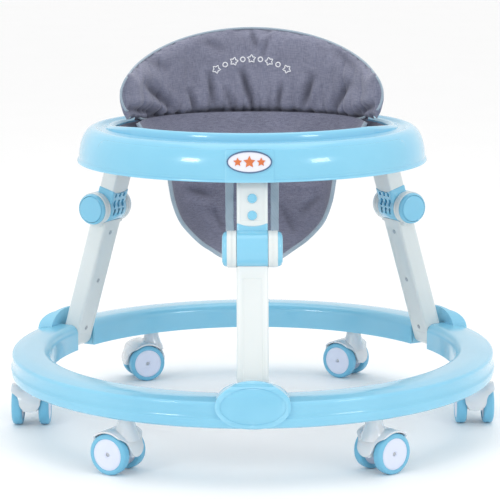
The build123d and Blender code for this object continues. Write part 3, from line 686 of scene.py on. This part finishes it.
def make_studs():
    """Two round locking studs on the strut's face, each with a shallow rim."""
    outline = [(0.0, 1.35), (4.2, 1.35), (4.7, 1.8), (5.4, 1.9)]
    outline += [(6.0, 1.6), (6.3, 0.9), (6.3, -1.5), (0.0, -1.5)]
    pair = []
    for along in (SLEEVE_TOP + 9.9, SLEEVE_TOP + 32.4):
        stud = spun("stud", outline, 40)
        place = Matrix.Translation((12.5 * MM, 0, along * MM))
        pair.append(placed(stud, place @ Matrix.Rotation(math.radians(90), 4, "Y")))
    studs = joined(*pair)
    studs.name = "locking_stud"
    on_each_leg(studs, BLUE, "upper_leg_{}", "blue_plastic", "strut_studs_{}", 30)


make_lower_leg()
make_hinge_caps()
make_buttons()
make_sleeve()
make_strut()
make_studs()


# ---------------------------------------------------------------------------- casters

wheel = Vector(joints["wheel_spin_right"]["pos_m"]) / MM
stem = Vector(joints["swivel_right"]["pos_m"]) / MM
WHEEL_RADIUS = wheel.z
TRAIL = (wheel.to_2d() - stem.to_2d()).length
AXLE = (TRAIL, WHEEL_RADIUS)
WHEEL_INNER, WHEEL_OUTER = 12, 27


def caster_frame(caster):
    """Frame on the floor under a stem, with the wheels trailing towards its X."""
    pivot = Vector(joints[f"swivel_{caster}"]["pos_m"])
    axle = Vector(joints[f"wheel_spin_{caster}"]["pos_m"])
    yaw = math.atan2(axle.y - pivot.y, axle.x - pivot.x)
    return Matrix.Translation((pivot.x, pivot.y, 0)) @ Matrix.Rotation(yaw, 4, "Z")


def on_each_caster(*piece):
    on_each(CASTERS, caster_frame, *piece)


def tongue_tool():
    """Front outline of the hood: wide over the wheels, narrowing to a rounded tongue."""
    side = [(27.8, 70), (27.8, 54), (26.6, 51.5), (22.5, 49), (18.2, 46), (16, 42)]
    low = arc((0, 39.5), 15.5, 0, -180, 14)
    outline = side + low + [(-x, z) for x, z in reversed(side)]
    tool = drawn_out("tongue", outline, 140)
    place = Matrix.Rotation(math.radians(90), 4, "Z") @ Matrix.Translation((0, -70 * MM, 0))
    return placed(tool, place)


def make_forks():
    """Milky hood over both wheels, with a tongue fore and aft, a flared neck and the stem."""
    hood = roller("hood", 32, -27.8, 27.8, AXLE, 0.8, 96)
    cut(hood, roller("wheel_room", 29.7, -40, 40, AXLE, sides=96))
    cut(hood, tongue_tool(), "INTERSECT")
    rounded(hood, 0.7, 2)
    spine = roller("spine", 31, -10, 10, AXLE, 1.5, 96)
    spine_part = bar("spine_part", (TRAIL - 40, -15, WHEEL_RADIUS - 3), (TRAIL + 40, 15, 80), 4)
    cut(spine, spine_part, "INTERSECT")
    cut(hood, spine, "UNION")
    cut(hood, roller("web", 8, -10, 10, AXLE, 1.0, 64), "UNION")
    top = RING_BOTTOM - 2
    outline = [(0, 46), (19, 46), (17.5, 52), (15, 58), (12.8, 64), (11.4, 69), (11, top - 1)]
    outline += [(10.2, top), (5, top), (5, top + 31), (4, top + 32), (0, top + 32)]
    neck = spun("neck", outline, 64)
    cut(neck, roller("neck_room", 31, -40, 40, AXLE, sides=96))
    cut(hood, neck, "UNION")
    cut(hood, roller("axle_hole", 3.1, -40, 40, AXLE, sides=32))
    hood.name = "caster_hood"
    on_each_caster(hood, MILKY, "caster_{}", "clear_plastic", "caster_fork_{}", 32)


def make_wheels():
    """Soft blue treads on white discs, with a dished middle round the axle."""
    inner, outer, rim = WHEEL_INNER, WHEEL_OUTER, WHEEL_RADIUS - 6.5
    tread = [(rim, inner), (24.4, inner), (26.6, inner + 0.9), (27.7, inner + 2.4)]
    tread += [(WHEEL_RADIUS, inner + 4.2), (WHEEL_RADIUS, outer - 4.2), (27.6, outer - 2.2)]
    tread += [(26.4, outer - 0.8), (24.4, outer), (22.5, outer - 0.1), (rim, outer - 0.9)]
    treads = mirrored_pair("tread", tread, AXLE)
    on_each_caster(treads, TYRE_BLUE, "wheels_{}", "blue_tyre", "caster_tyres_{}", 30)
    face = [(2.6, outer - 2.2), (3.2, outer - 1.5), (4.2, outer - 0.8), (5.2, outer - 1.2)]
    face += [(6.2, outer - 1.0), (12, outer - 0.3), (17.5, outer - 0.2), (20.2, outer - 0.5)]
    face += [(rim, outer - 1.3), (rim, inner + 1.4), (rim - 1, inner + 1), (2.6, inner + 1)]
    discs = mirrored_pair("wheel_disc", face, AXLE)
    on_each_caster(discs, WHEEL_WHITE, "wheels_{}", "white_plastic", "caster_hubs_{}", 30)
    pin = [(0, outer - 1.3), (1.6, outer - 1.5), (2.5, outer - 2.2), (2.55, -1), (0, -1)]
    axle = mirrored_pair("axle", pin, AXLE)
    for caster in CASTERS:
        new = placed(copy_of(axle, f"axle_{caster}_pin"), caster_frame(caster))
        done(new, STEEL, f"wheels_{caster}")
    bpy.data.objects.remove(axle)


make_forks()
make_wheels()


# ------------------------------------------------------------------------------- tray

tray_low, tray_high = [corner * 1000 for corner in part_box("tray_shell")]
TRAY_RADIUS, TRAY_BOTTOM, LIP_TOP = tray_high.x, tray_low.z, tray_high.z
LEDGE_RADIUS, LEDGE_TOP = TRAY_RADIUS - 38, TRAY_BOTTOM + 45.5
LIP_RADIUS, LIP_HALF = LEDGE_RADIUS - 9, 5.5
OPENING_RADIUS = LIP_RADIUS - LIP_HALF


def tray_skin(grow):
    """Section of the tray: lower rim, shoulder with a soft crest, shallow trough, and the lip."""
    outer, ledge = TRAY_RADIUS + grow, LEDGE_TOP + grow
    crest, run, rise = 3.8, 23, 43.3
    points = [(outer - 0.4, TRAY_BOTTOM), (outer, TRAY_BOTTOM + 1.6)]
    points += [(outer - 0.6, TRAY_BOTTOM + 3.6)]
    for step in range(17):
        angle = math.radians(90 * step / 16)
        radius = outer - 2.6 - run * (1 - math.cos(angle))
        points.append((radius, ledge + crest - rise * (1 - math.sin(angle))))
    points += [(outer - 28, ledge + 3.3), (outer - 30.4, ledge + 1.8)]
    points += [(outer - 32.6, ledge + 0.4), (outer - 35, ledge - 0.4)]
    lip_outer, lip_inner, top = LIP_RADIUS + LIP_HALF + grow, OPENING_RADIUS - grow, LIP_TOP + grow
    points += [(LEDGE_RADIUS + 0.4 + grow, ledge - 0.2), (LEDGE_RADIUS - 1.4 + grow, ledge + 0.8)]
    points += [(lip_outer, ledge + 4), (lip_outer - 0.2, top - 4)]
    points += arc((LIP_RADIUS, top - 4.6), LIP_HALF + grow - 0.6, 40, 140, 6)
    points += [(lip_inner, top - 6), (lip_inner, LIP_TOP - 29)]
    return points


def lower_lip(tray):
    """Let the lip sink from its full height in front to a low bead at the sides and back."""
    points = coordinates(tray)
    reach = np.clip(-points[:, 1] / (127 * MM), 0, 1)
    height = np.clip((points[:, 2] / MM - LEDGE_TOP) / 11.5, 0, 1)
    lip = np.hypot(points[:, 0], points[:, 1]) < (LEDGE_RADIUS + 0.2) * MM
    points[:, 2] -= 11 * MM * (1 - reach) * height * lip
    set_coordinates(tray, points)


def tray_jacket(grow, slack=0):
    """Solid body of the tray's outside, grown by a little; slack extends its hidden faces."""
    skin = tray_skin(grow)[:20]
    inner = LEDGE_RADIUS - 30 - slack
    foot = [(skin[0][0], TRAY_BOTTOM - slack)] if slack else []
    return spun("jacket", foot + skin + [(inner, skin[-1][1]), (inner, TRAY_BOTTOM - slack)], 180)


def raised(name, grow, slab, floor=None):
    """Skin-following plate: where a slab crosses the tray's front, from floor out to grow."""
    plate = cut(tray_jacket(grow), slab, "INTERSECT")
    if floor is not None:
        cut(plate, tray_jacket(floor, 6))
    plate.name = name
    return cleaned(plate, loose=True)


def make_tray():
    tray = spun("tray_moulding", tray_skin(0) + tray_skin(-3)[::-1], 180)
    lower_lip(tray)
    done(tray, BLUE, "tray", ["tray_shell"], 30)
    slab = rounded_slab((-212, 212), (TRAY_BOTTOM + 4, LEDGE_TOP - 3), 13)
    panel = raised("tray_front_panel", 0.6, slab, -1)
    rounded(panel, 0.5)
    done(panel, BLUE, "tray", (), 30)
    slab = rounded_slab((-36, 29), (TRAY_BOTTOM - 6, LEDGE_TOP - 3), 4)
    plaque = raised("tray_badge_seat", 1.2, slab, -1)
    rounded(plaque, 0.5)
    done(plaque, BLUE, "tray", (), 30)


def rounded_slab(width, height, corner):
    """Upright slab in front of the walker's middle, with rounded corners seen from the front."""
    slab = bar("slab", (width[0], -290, height[0]), (width[1], -70, height[1]))
    select_only(slab)
    bpy.ops.object.mode_set(mode="EDIT")
    bpy.ops.mesh.select_mode(type="EDGE")
    bpy.ops.mesh.select_all(action="DESELECT")
    bpy.ops.object.mode_set(mode="OBJECT")
    for edge in slab.data.edges:
        a, b = [slab.data.vertices[v].co for v in edge.vertices]
        edge.select = abs(a.y - b.y) > 0.1
    bpy.ops.object.mode_set(mode="EDIT")
    bpy.ops.mesh.bevel(offset=corner * MM, segments=8, affect="EDGES")
    bpy.ops.mesh.select_mode(type="VERT")
    bpy.ops.object.mode_set(mode="OBJECT")
    return slab


BADGE_HEIGHT = TRAY_BOTTOM + 27
BADGE_SHIFT = -3.5


def flat_shape(name, points):
    """Slab in front of the tray with any outline, given as (x, z) about the badge's middle."""
    tool = drawn_out(name, [(x + BADGE_SHIFT, z + BADGE_HEIGHT) for x, z in points], -120)
    return placed(tool, Matrix.Translation((0, -170 * MM, 0)))


def oval(half_width, half_height, count=72):
    steps = [2 * math.pi * i / count for i in range(count)]
    return [(half_width * math.cos(t), half_height * math.sin(t)) for t in steps]


def star(radius, centre_x, points=5, inner=0.5):
    tips = []
    for i in range(2 * points):
        reach = radius if i % 2 == 0 else radius * inner
        angle = math.pi / 2 + math.pi * i / points
        tips.append((centre_x + reach * math.cos(angle), reach * math.sin(angle)))
    return tips


def make_badge():
    """Oval plate with a dark border and three plain stars."""
    face = raised("badge_plate", 2.4, flat_shape("oval", oval(28.5, 13, 61)), 0.8)
    done(face, BADGE_FACE, "tray", ["tray_badge"], 30)
    border = cut(flat_shape("outer", oval(30, 14.5, 61)), flat_shape("inner", oval(28.3, 12.8, 61)))
    rim = raised("badge_rim", 2.9, border, 0.8)
    done(rim, BADGE_EDGE, "tray", (), 30)
    for side, radius in ((-1, 6), (0, 8.2), (1, 6)):
        outline = star(radius, side * 15.5)
        mark = raised(f"badge_star_{side + 2}", 3.0, flat_shape("star", outline), 1.8)
        rounded(mark, 0.25, 2)
        done(mark, BADGE_MARK, "tray", (), 30)


make_tray()
make_badge()


# ------------------------------------------------------------------------------- seat

pad_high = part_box("seat_back_pad")[1] * 1000
pouch_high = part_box("seat_pouch")[1] * 1000
PAD_RADIUS, PAD_THICKNESS = OPENING_RADIUS - 5.5, 24
PAD_MIDDLE = PAD_RADIUS - PAD_THICKNESS / 2
PAD_CENTRE = pad_high.z - 87
SEAM_HEIGHT = LIP_TOP - 9


def mark_painted_fold_shade(obj, depth):
    """Store how deep each point lies in a fold, from 0 to 1, for the painted shade that darkens the
    cloth there.
    """
    layer = obj.data.attributes.new("fold", "FLOAT", "POINT")
    layer.data.foreach_set("value", np.clip(depth, 0, 1).astype(np.float32))


def smooth_path(points, per_span=8):
    """Points along a smooth curve through the given ones."""
    knots = [np.array(p, float) for p in points]
    knots = [2 * knots[0] - knots[1]] + knots + [2 * knots[-1] - knots[-2]]
    path = []
    for a, b, c, d in zip(knots, knots[1:], knots[2:], knots[3:]):
        for i in range(per_span):
            t = i / per_span
            path.append(0.5 * (2 * b + (c - a) * t + (2 * a - 5 * b + 4 * c - d) * t ** 2
                               + (3 * b - a - 3 * c + d) * t ** 3))
    return path + [knots[-2]]


def tube(name, points, radius, closed=False, resolution=3):
    """Round cord, such as piping or thread, along points in millimetres."""
    data = bpy.data.curves.new(name, "CURVE")
    data.dimensions = "3D"
    data.bevel_depth = radius * MM
    data.bevel_resolution = resolution
    data.use_fill_caps = True
    spline = data.splines.new("POLY")
    spline.points.add(len(points) - 1)
    for knot, point in zip(spline.points, points):
        knot.co = (point[0] * MM, point[1] * MM, point[2] * MM, 1)
    spline.use_cyclic_u = closed
    obj = bpy.data.objects.new(name, data)
    bpy.context.collection.objects.link(obj)
    select_only(obj)
    bpy.ops.object.convert(target="MESH")
    return cleaned(bpy.context.active_object, MERGE / 2, outward=True)


def soft_noise(points, scale, seed):
    return np.array([noise.noise(Vector(p) * scale + Vector((seed, 0, 0))) for p in points])


def distance_to(x, z, start, end):
    """Distance of points from a segment, and how far along it they lie."""
    a, b = np.array(start, float), np.array(end, float)
    line = b - a
    along = np.clip(((x - a[0]) * line[0] + (z - a[1]) * line[1]) / (line @ line), 0, 1)
    return np.hypot(x - a[0] - along * line[0], z - a[1] - along * line[1]), along


def crease_depth(x, z, creases):
    """How far the cloth dips at (x, z): a groove along each crease, with a soft roll beside it."""
    depth = np.zeros_like(x)
    for start, end, deep, width in creases:
        gap, along = distance_to(x, z, start, end)
        fade = np.clip(np.sin(np.pi * np.clip(along * 0.9 + 0.08, 0, 1)), 0, 1) ** 0.6
        roll = 0.45 * np.exp(-((gap - 2.4 * width) / (1.3 * width)) ** 2)
        depth += deep * fade * (np.exp(-(gap / width) ** 2) - roll)
    return depth


# creases of the pad and the sling: both ends as (x, z), depth and width
PAD_CREASES = [
    ((-14, 496), (3, 440), 4.5, 4.5), ((0, 556), (8, 528), 2.6, 4.0),
    ((25, 546), (15, 516), 2.2, 4.0), ((-176, 458), (-128, 438), 4.2, 5.0),
    ((-152, 486), (-112, 440), 3.8, 5.0), ((-92, 470), (-84, 440), 3.0, 4.0),
    ((-62, 492), (-54, 440), 3.2, 4.5), ((-36, 470), (-30, 440), 2.6, 4.0),
    ((44, 476), (38, 440), 3.0, 4.0), ((90, 490), (74, 440), 3.6, 4.5),
    ((141, 484), (118, 440), 3.8, 5.0), ((172, 462), (150, 439), 3.6, 4.5),
    ((-150, 520), (-118, 500), 1.8, 7.0), ((120, 528), (150, 505), 1.8, 7.0),
    ((-70, 540), (-40, 528), 1.6, 7.0),
]


def swell(obj, pressure, cap, last_frame=20):
    """Blow a closed cloth up a little and keep the shape, with no point moved past the cap."""
    rest = coordinates(obj)
    select_only(obj)
    cloth = obj.modifiers.new("cloth", "CLOTH")
    cloth.settings.use_pressure = True
    cloth.settings.uniform_pressure_force = pressure
    cloth.settings.effector_weights.gravity = 0
    cloth.settings.quality = 5
    for number in range(1, last_frame + 1):
        bpy.context.scene.frame_set(number)
    bpy.ops.object.modifier_apply(modifier=cloth.name)
    bpy.context.scene.frame_set(1)
    move = coordinates(obj) - rest
    length = np.linalg.norm(move, axis=1, keepdims=True)
    set_coordinates(obj, rest + move * np.minimum(1, cap / np.maximum(length, 1e-9)))


def fill_outline(points):
    """Stretch the pad's upper half so that its top edge meets the line of the piping."""
    across = np.abs(points[:, 0]) / (pad_high.x * MM)
    rise = points[:, 2] / MM - PAD_CENTRE
    columns = np.clip((across * 40).astype(int), 0, 39)
    top = np.array([rise[columns == i].max() if np.any(columns == i) else 1 for i in range(40)])
    middles = (np.arange(40) + 0.5) / 40
    wanted = 87 * np.sqrt(np.clip(1 - np.minimum(middles, 0.99) ** 2, 0, 1))
    stretch = np.clip(wanted / np.maximum(top, 1), 0.45, 1.12)
    share = np.clip(rise / 30, 0, 1)
    rise = rise * (1 + (np.interp(across, middles, stretch) - 1) * share)
    points[:, 2] = (PAD_CENTRE + rise) * MM
    return points


def make_back_pad():
    """Quilted backrest: swollen from its plain core, gathered into a seam above the tray."""
    pad = copy_of(frame["nodes"]["seat_back_pad"], "backrest_cushion")
    pad.parent = None
    for key in list(pad.keys()):
        del pad[key]
    cleaned(pad, MERGE)
    points = coordinates(pad)
    radius = np.hypot(points[:, 0], points[:, 1])
    thin = (PAD_MIDDLE * MM + (radius - PAD_MIDDLE * MM) * 0.62) / radius
    points[:, :2] *= thin[:, None]
    set_coordinates(pad, points)
    modified(pad, "REMESH", mode="VOXEL", voxel_size=0.005)
    swell(pad, 4, 0.007)
    modified(pad, "SUBSURF", levels=1, render_levels=1)
    points = coordinates(pad)
    x, z = points[:, 0] / MM, points[:, 2] / MM
    radius = np.hypot(points[:, 0], points[:, 1])
    front = np.clip((PAD_MIDDLE * MM - radius) / 0.004, 0, 1)
    depth = crease_depth(x, z, PAD_CREASES)
    seam = np.exp(-((z - SEAM_HEIGHT) / 4.5) ** 2)
    pucker = 1 + 0.35 * np.sin(x * 0.33 + 2.2 * np.sin(x * 0.06))
    fan = 0.012 * (z - SEAM_HEIGHT) * np.sign(x)
    gather = np.abs(np.cos(x * 0.19 + 1.5 * np.sin(x * 0.043) + fan))
    length = 17 + 13 * np.clip(soft_noise(points, 24, 31) + 0.5, 0, 1)
    ripples = 4.2 * (gather ** 7 - 0.2) * np.exp(-np.abs(z - SEAM_HEIGHT) / length)
    rolling = 3.0 * soft_noise(points, 11, 3) + 1.4 * soft_noise(points, 32, 9)
    inward = 1.7 * depth + 7 * seam * pucker + ripples + rolling
    back = (1 - front) * (1.2 * soft_noise(points, 14, 21))
    move = (inward * front - back) * MM
    new_radius = np.minimum(radius + move, (PAD_RADIUS + 1.5) * MM)
    points[:, :2] *= (new_radius / radius)[:, None]
    set_coordinates(pad, fill_outline(points))
    # painted shade in the creases, the seam and the ripples on the pad's front
    folds = 0.2 * np.maximum(depth, 0) + 0.75 * seam ** 2 + 0.09 * np.maximum(ripples, 0)
    mark_painted_fold_shade(pad, front * folds)
    done(pad, GREY_CLOTH, "tray", ["seat_back_pad"], 80)
    return pad


def pad_outline(count=150):
    """Line of the piping at mid thickness: near the outline on top, further in at the ends."""
    points = []
    for i in range(count + 1):
        turn = -35 + 250 * i / count
        angle = math.radians(turn)
        inset = 0.6 + 5 * min(max((abs(turn - 90) - 62) / 45, 0), 1)
        half_width, half_height = pad_high.x - inset, 87 - inset
        x, z = half_width * math.cos(angle), PAD_CENTRE + half_height * math.sin(angle)
        ring = PAD_MIDDLE - 6 + (abs(x) / half_width) ** 6 * 6
        y = math.sqrt(max(ring ** 2 - x ** 2, 0)) if abs(x) < ring else 0
        points.append((x, y, z))
    return points


def make_pad_piping():
    """Piping round the pad, whose ends run down and inward into the opening."""
    outline = [p for p in pad_outline() if p[2] > LIP_TOP - 6]
    tail = [(160, 62, 437), (150, 88, 433), (136, 112, 428)]
    start = [(x, y, z) for x, y, z in reversed(tail)]
    end = [(-x, y, z) for x, y, z in tail]
    outline = [tuple(p) for p in smooth_path(start + [outline[0]], 5)] + outline[1:-1] + [
        tuple(p) for p in smooth_path([outline[-1]] + end, 5)]
    piping = tube("backrest_piping", outline, 1.7)
    done(piping, TAPE, "tray")


def on_surface(pad, x, z):
    """Point just off the pad's front face at (x, z), in millimetres, or None beside it."""
    hit, place, normal, _ = pad.ray_cast(Vector((x * MM, 0, z * MM)), Vector((0, 1, 0)))
    if not hit:
        return None
    return place / MM + normal * 0.5


def make_stitched_motifs(pad):
    """An arc of white stitched shapes: stars with small rings between them."""
    for index in range(9):
        share = (index - 4) / 4
        middle_x = share * 53
        middle_z = 516 - 15 * share ** 2
        turn = -share * 0.42
        count = 20
        radius = 6.2 if index % 2 == 0 else 3.4
        outline = []
        for i in range(count):
            angle = 2 * math.pi * i / count
            reach = radius * (1 if index % 2 else (1.0, 0.74, 0.56, 0.74)[i % 4])
            x = reach * math.sin(angle + turn)
            z = reach * math.cos(angle + turn)
            point = on_surface(pad, middle_x + x, middle_z + z)
            if point is not None:
                outline.append(tuple(point))
        thread = tube(f"stitched_motif_{index + 1}", outline, 0.95, closed=True, resolution=2)
        done(thread, THREAD, "tray")


# rows of the sling: Y and height of its middle line, half width, curl of its edges
SLING_ROWS = [
    (164, 436, 164, 148), (150, 412, 150, 132), (133, 385, 123, 112), (122, 350, 119, 102),
    (110, 318, 113, 90), (92, 290, 101, 76), (66, 266, 79, 52), (36, 251, 57, 27),
    (4, 246, 45, 10), (-30, 250, 39, 2), (-60, 264, 37, 0), (-84, 296, 37, 0), (-98, 336, 37, 0),
    (-110, 376, 37, 2), (-134, 404, 37, 5), (-172, 424, 37, 4),
]

SLING_CREASES = [
    ((-100, 372), (-66, 356), 3.4, 4.5), ((-96, 330), (-58, 316), 3.0, 5.0),
    ((52, 340), (100, 346), 3.4, 4.5), ((88, 388), (84, 350), 3.2, 4.0),
    ((-60, 300), (-40, 270), 2.6, 4.5), ((44, 300), (62, 268), 2.8, 4.5),
    ((100, 320), (72, 292), 2.4, 5.0), ((-84, 392), (-78, 364), 2.2, 4.0),
    ((56, 384), (50, 352), 2.4, 4.0),
]


def sling_grid(spans, columns):
    """Lofted sheet through the sling's rows, each row curling forward at its edges."""
    rows = smooth_path(SLING_ROWS, spans)
    verts = []
    for back, height, half, curl in rows:
        for j in range(columns + 1):
            u = -1 + 2 * j / columns
            verts.append((half * math.sin(u * math.pi / 2 * 0.98), back - curl * u * u, height))
    faces = []
    for i in range(len(rows) - 1):
        for j in range(columns):
            a = i * (columns + 1) + j
            faces.append((a, a + 1, a + columns + 2, a + columns + 1))
    return rows, np.array(verts), faces


def sheet_mesh(name, verts, faces):
    data = bpy.data.meshes.new(name)
    data.from_pydata([tuple(v * MM) for v in verts], [], faces)
    obj = bpy.data.objects.new(name, data)
    bpy.context.collection.objects.link(obj)
    return obj


def sag_sling(verts):
    """Soft wrinkles, worked in along the direction the cloth faces."""
    x, z = verts[:, 0], verts[:, 2]
    behind = np.clip((verts[:, 1] + 40) / 60, 0, 1)
    dip = 2.0 * crease_depth(x, z, SLING_CREASES) * behind
    rolling = 4.2 * soft_noise(verts, 0.022, 5) + 2.0 * soft_noise(verts, 0.06, 12)
    strap = (1 - behind) * 1.3 * np.sin(z * 0.22 + 1.5 * np.sin(x * 0.1))
    edge = np.clip((440 - z) / 25, 0, 1)
    verts[:, 1] += (dip + rolling + strap) * edge
    return verts


def fold_up(pieces):
    """Give each cloth piece that hangs in the opening a mesh of its own."""
    for piece in pieces:
        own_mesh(piece)


def make_sling():
    """One-piece cloth seat: a wide back that narrows under the child to a strap in front."""
    spans, columns = 7, 44
    rows, verts, faces = sling_grid(spans, columns)
    sling = sheet_mesh("seat_sling", sag_sling(verts.copy()), faces)
    # painted shade in the sling's creases, on the part behind the middle
    folds = np.maximum(crease_depth(verts[:, 0], verts[:, 2], SLING_CREASES), 0)
    mark_painted_fold_shade(sling, 0.2 * folds * (verts[:, 1] > 0))
    modified(sling, "SUBSURF", levels=1, render_levels=1)
    verts = sag_sling(verts.copy())
    modified(sling, "SOLIDIFY", thickness=0.003, offset=0.0)
    # the sling gets the darker copy of the cloth as painted shade
    done(sling, SEAT_CLOTH_IN_SHADE, "tray", ["seat_pouch"], 80)
    width = columns + 1
    last_back = 9 * spans
    pieces = [sling]
    for side, column in (("left", 0), ("right", columns)):
        edge = [tuple(verts[i * width + column]) for i in range(len(rows))]
        piping = tube(f"sling_piping_{side}", edge[:last_back + 1], 3.0)
        done(piping, TAPE, "tray")
        inner_column = column + (11 if column == 0 else -11)
        inner = [tuple(verts[i * width + inner_column]) for i in range(len(rows))]
        binding = ribbon(f"strap_binding_{side}", edge[last_back:], inner[last_back:], 5.2)
        done(binding, TAPE, "tray", (), 60)
        pieces += [piping, binding]
    fold_up(pieces)


def ribbon(name, outer, inner, thickness):
    """Flat tape folded over a cloth edge, between two lines of points."""
    verts, faces = [], []
    for a, b in zip(outer, inner):
        verts += [np.array(a), (np.array(a) + np.array(b)) / 2, np.array(b)]
    for i in range(len(outer) - 1):
        for j in range(2):
            k = 3 * i + j
            faces.append((k, k + 1, k + 4, k + 3))
    tape = sheet_mesh(name, np.array(verts), faces)
    modified(tape, "SUBSURF", levels=1, render_levels=1)
    modified(tape, "SOLIDIFY", thickness=thickness * MM, offset=0.0)
    return rounded(tape, 0.8, 2)


def make_seat_band():
    """Gathered cloth band that hangs the sling from the wall of the tray opening."""
    hem_radius = OPENING_RADIUS - 43
    outline = [(OPENING_RADIUS - 3, pouch_high.z + 6), (OPENING_RADIUS - 9, 418)]
    outline += [(OPENING_RADIUS - 20, 406), (OPENING_RADIUS - 33, 396), (hem_radius, 389)]
    band = spun("seat_band", [tuple(p) for p in smooth_path(outline, 3)], 150, closed=False)
    points = coordinates(band)
    angle = np.arctan2(points[:, 1], points[:, 0])
    drop = np.clip((pouch_high.z + 4 - points[:, 2] / MM) / 25, 0, 1)
    fine = 1.5 * np.sin(angle * 46 + 2 * np.sin(angle * 7))
    gathers = (fine + 1.2 * np.sin(angle * 19 + 1)) * drop * MM
    radius = np.hypot(points[:, 0], points[:, 1])
    points[:, :2] *= ((radius + gathers) / radius)[:, None]
    points[:, 2] += 0.6 * gathers
    set_coordinates(band, points)
    modified(band, "SOLIDIFY", thickness=0.0022, offset=0.0)
    done(band, GREY_CLOTH, "tray", (), 80)
    ring = [2 * math.pi * i / 120 for i in range(120)]
    edge = [(hem_radius * math.cos(t), hem_radius * math.sin(t), 388.5) for t in ring]
    hem = tube("seat_band_hem", edge, 2.4, True)
    done(hem, TAPE, "tray")
    fold_up((band, hem))


cushion = make_back_pad()
make_pad_piping()
make_stitched_motifs(cushion)
make_sling()
make_seat_band()


# ------------------------------------------------------------------- frame and finish

def make_floor():
    bpy.ops.object.select_all(action="DESELECT")
    bpy.ops.mesh.primitive_plane_add(size=60, location=(0, 18, 0))
    floor = bpy.context.active_object
    floor.name = "floor"
    floor.data.materials.append(floor_finish())


def paint_frame():
    """Materials of the CAD nodes that stay in sight."""
    for name, node in frame["nodes"].items():
        material = BLUE
        if "_pin" in name or "screws" in name:
            material = STEEL
        elif name.startswith("seat_"):
            material = GREY_CLOTH
        node.data.materials.clear()
        node.data.materials.append(material)


make_floor()
paint_frame()
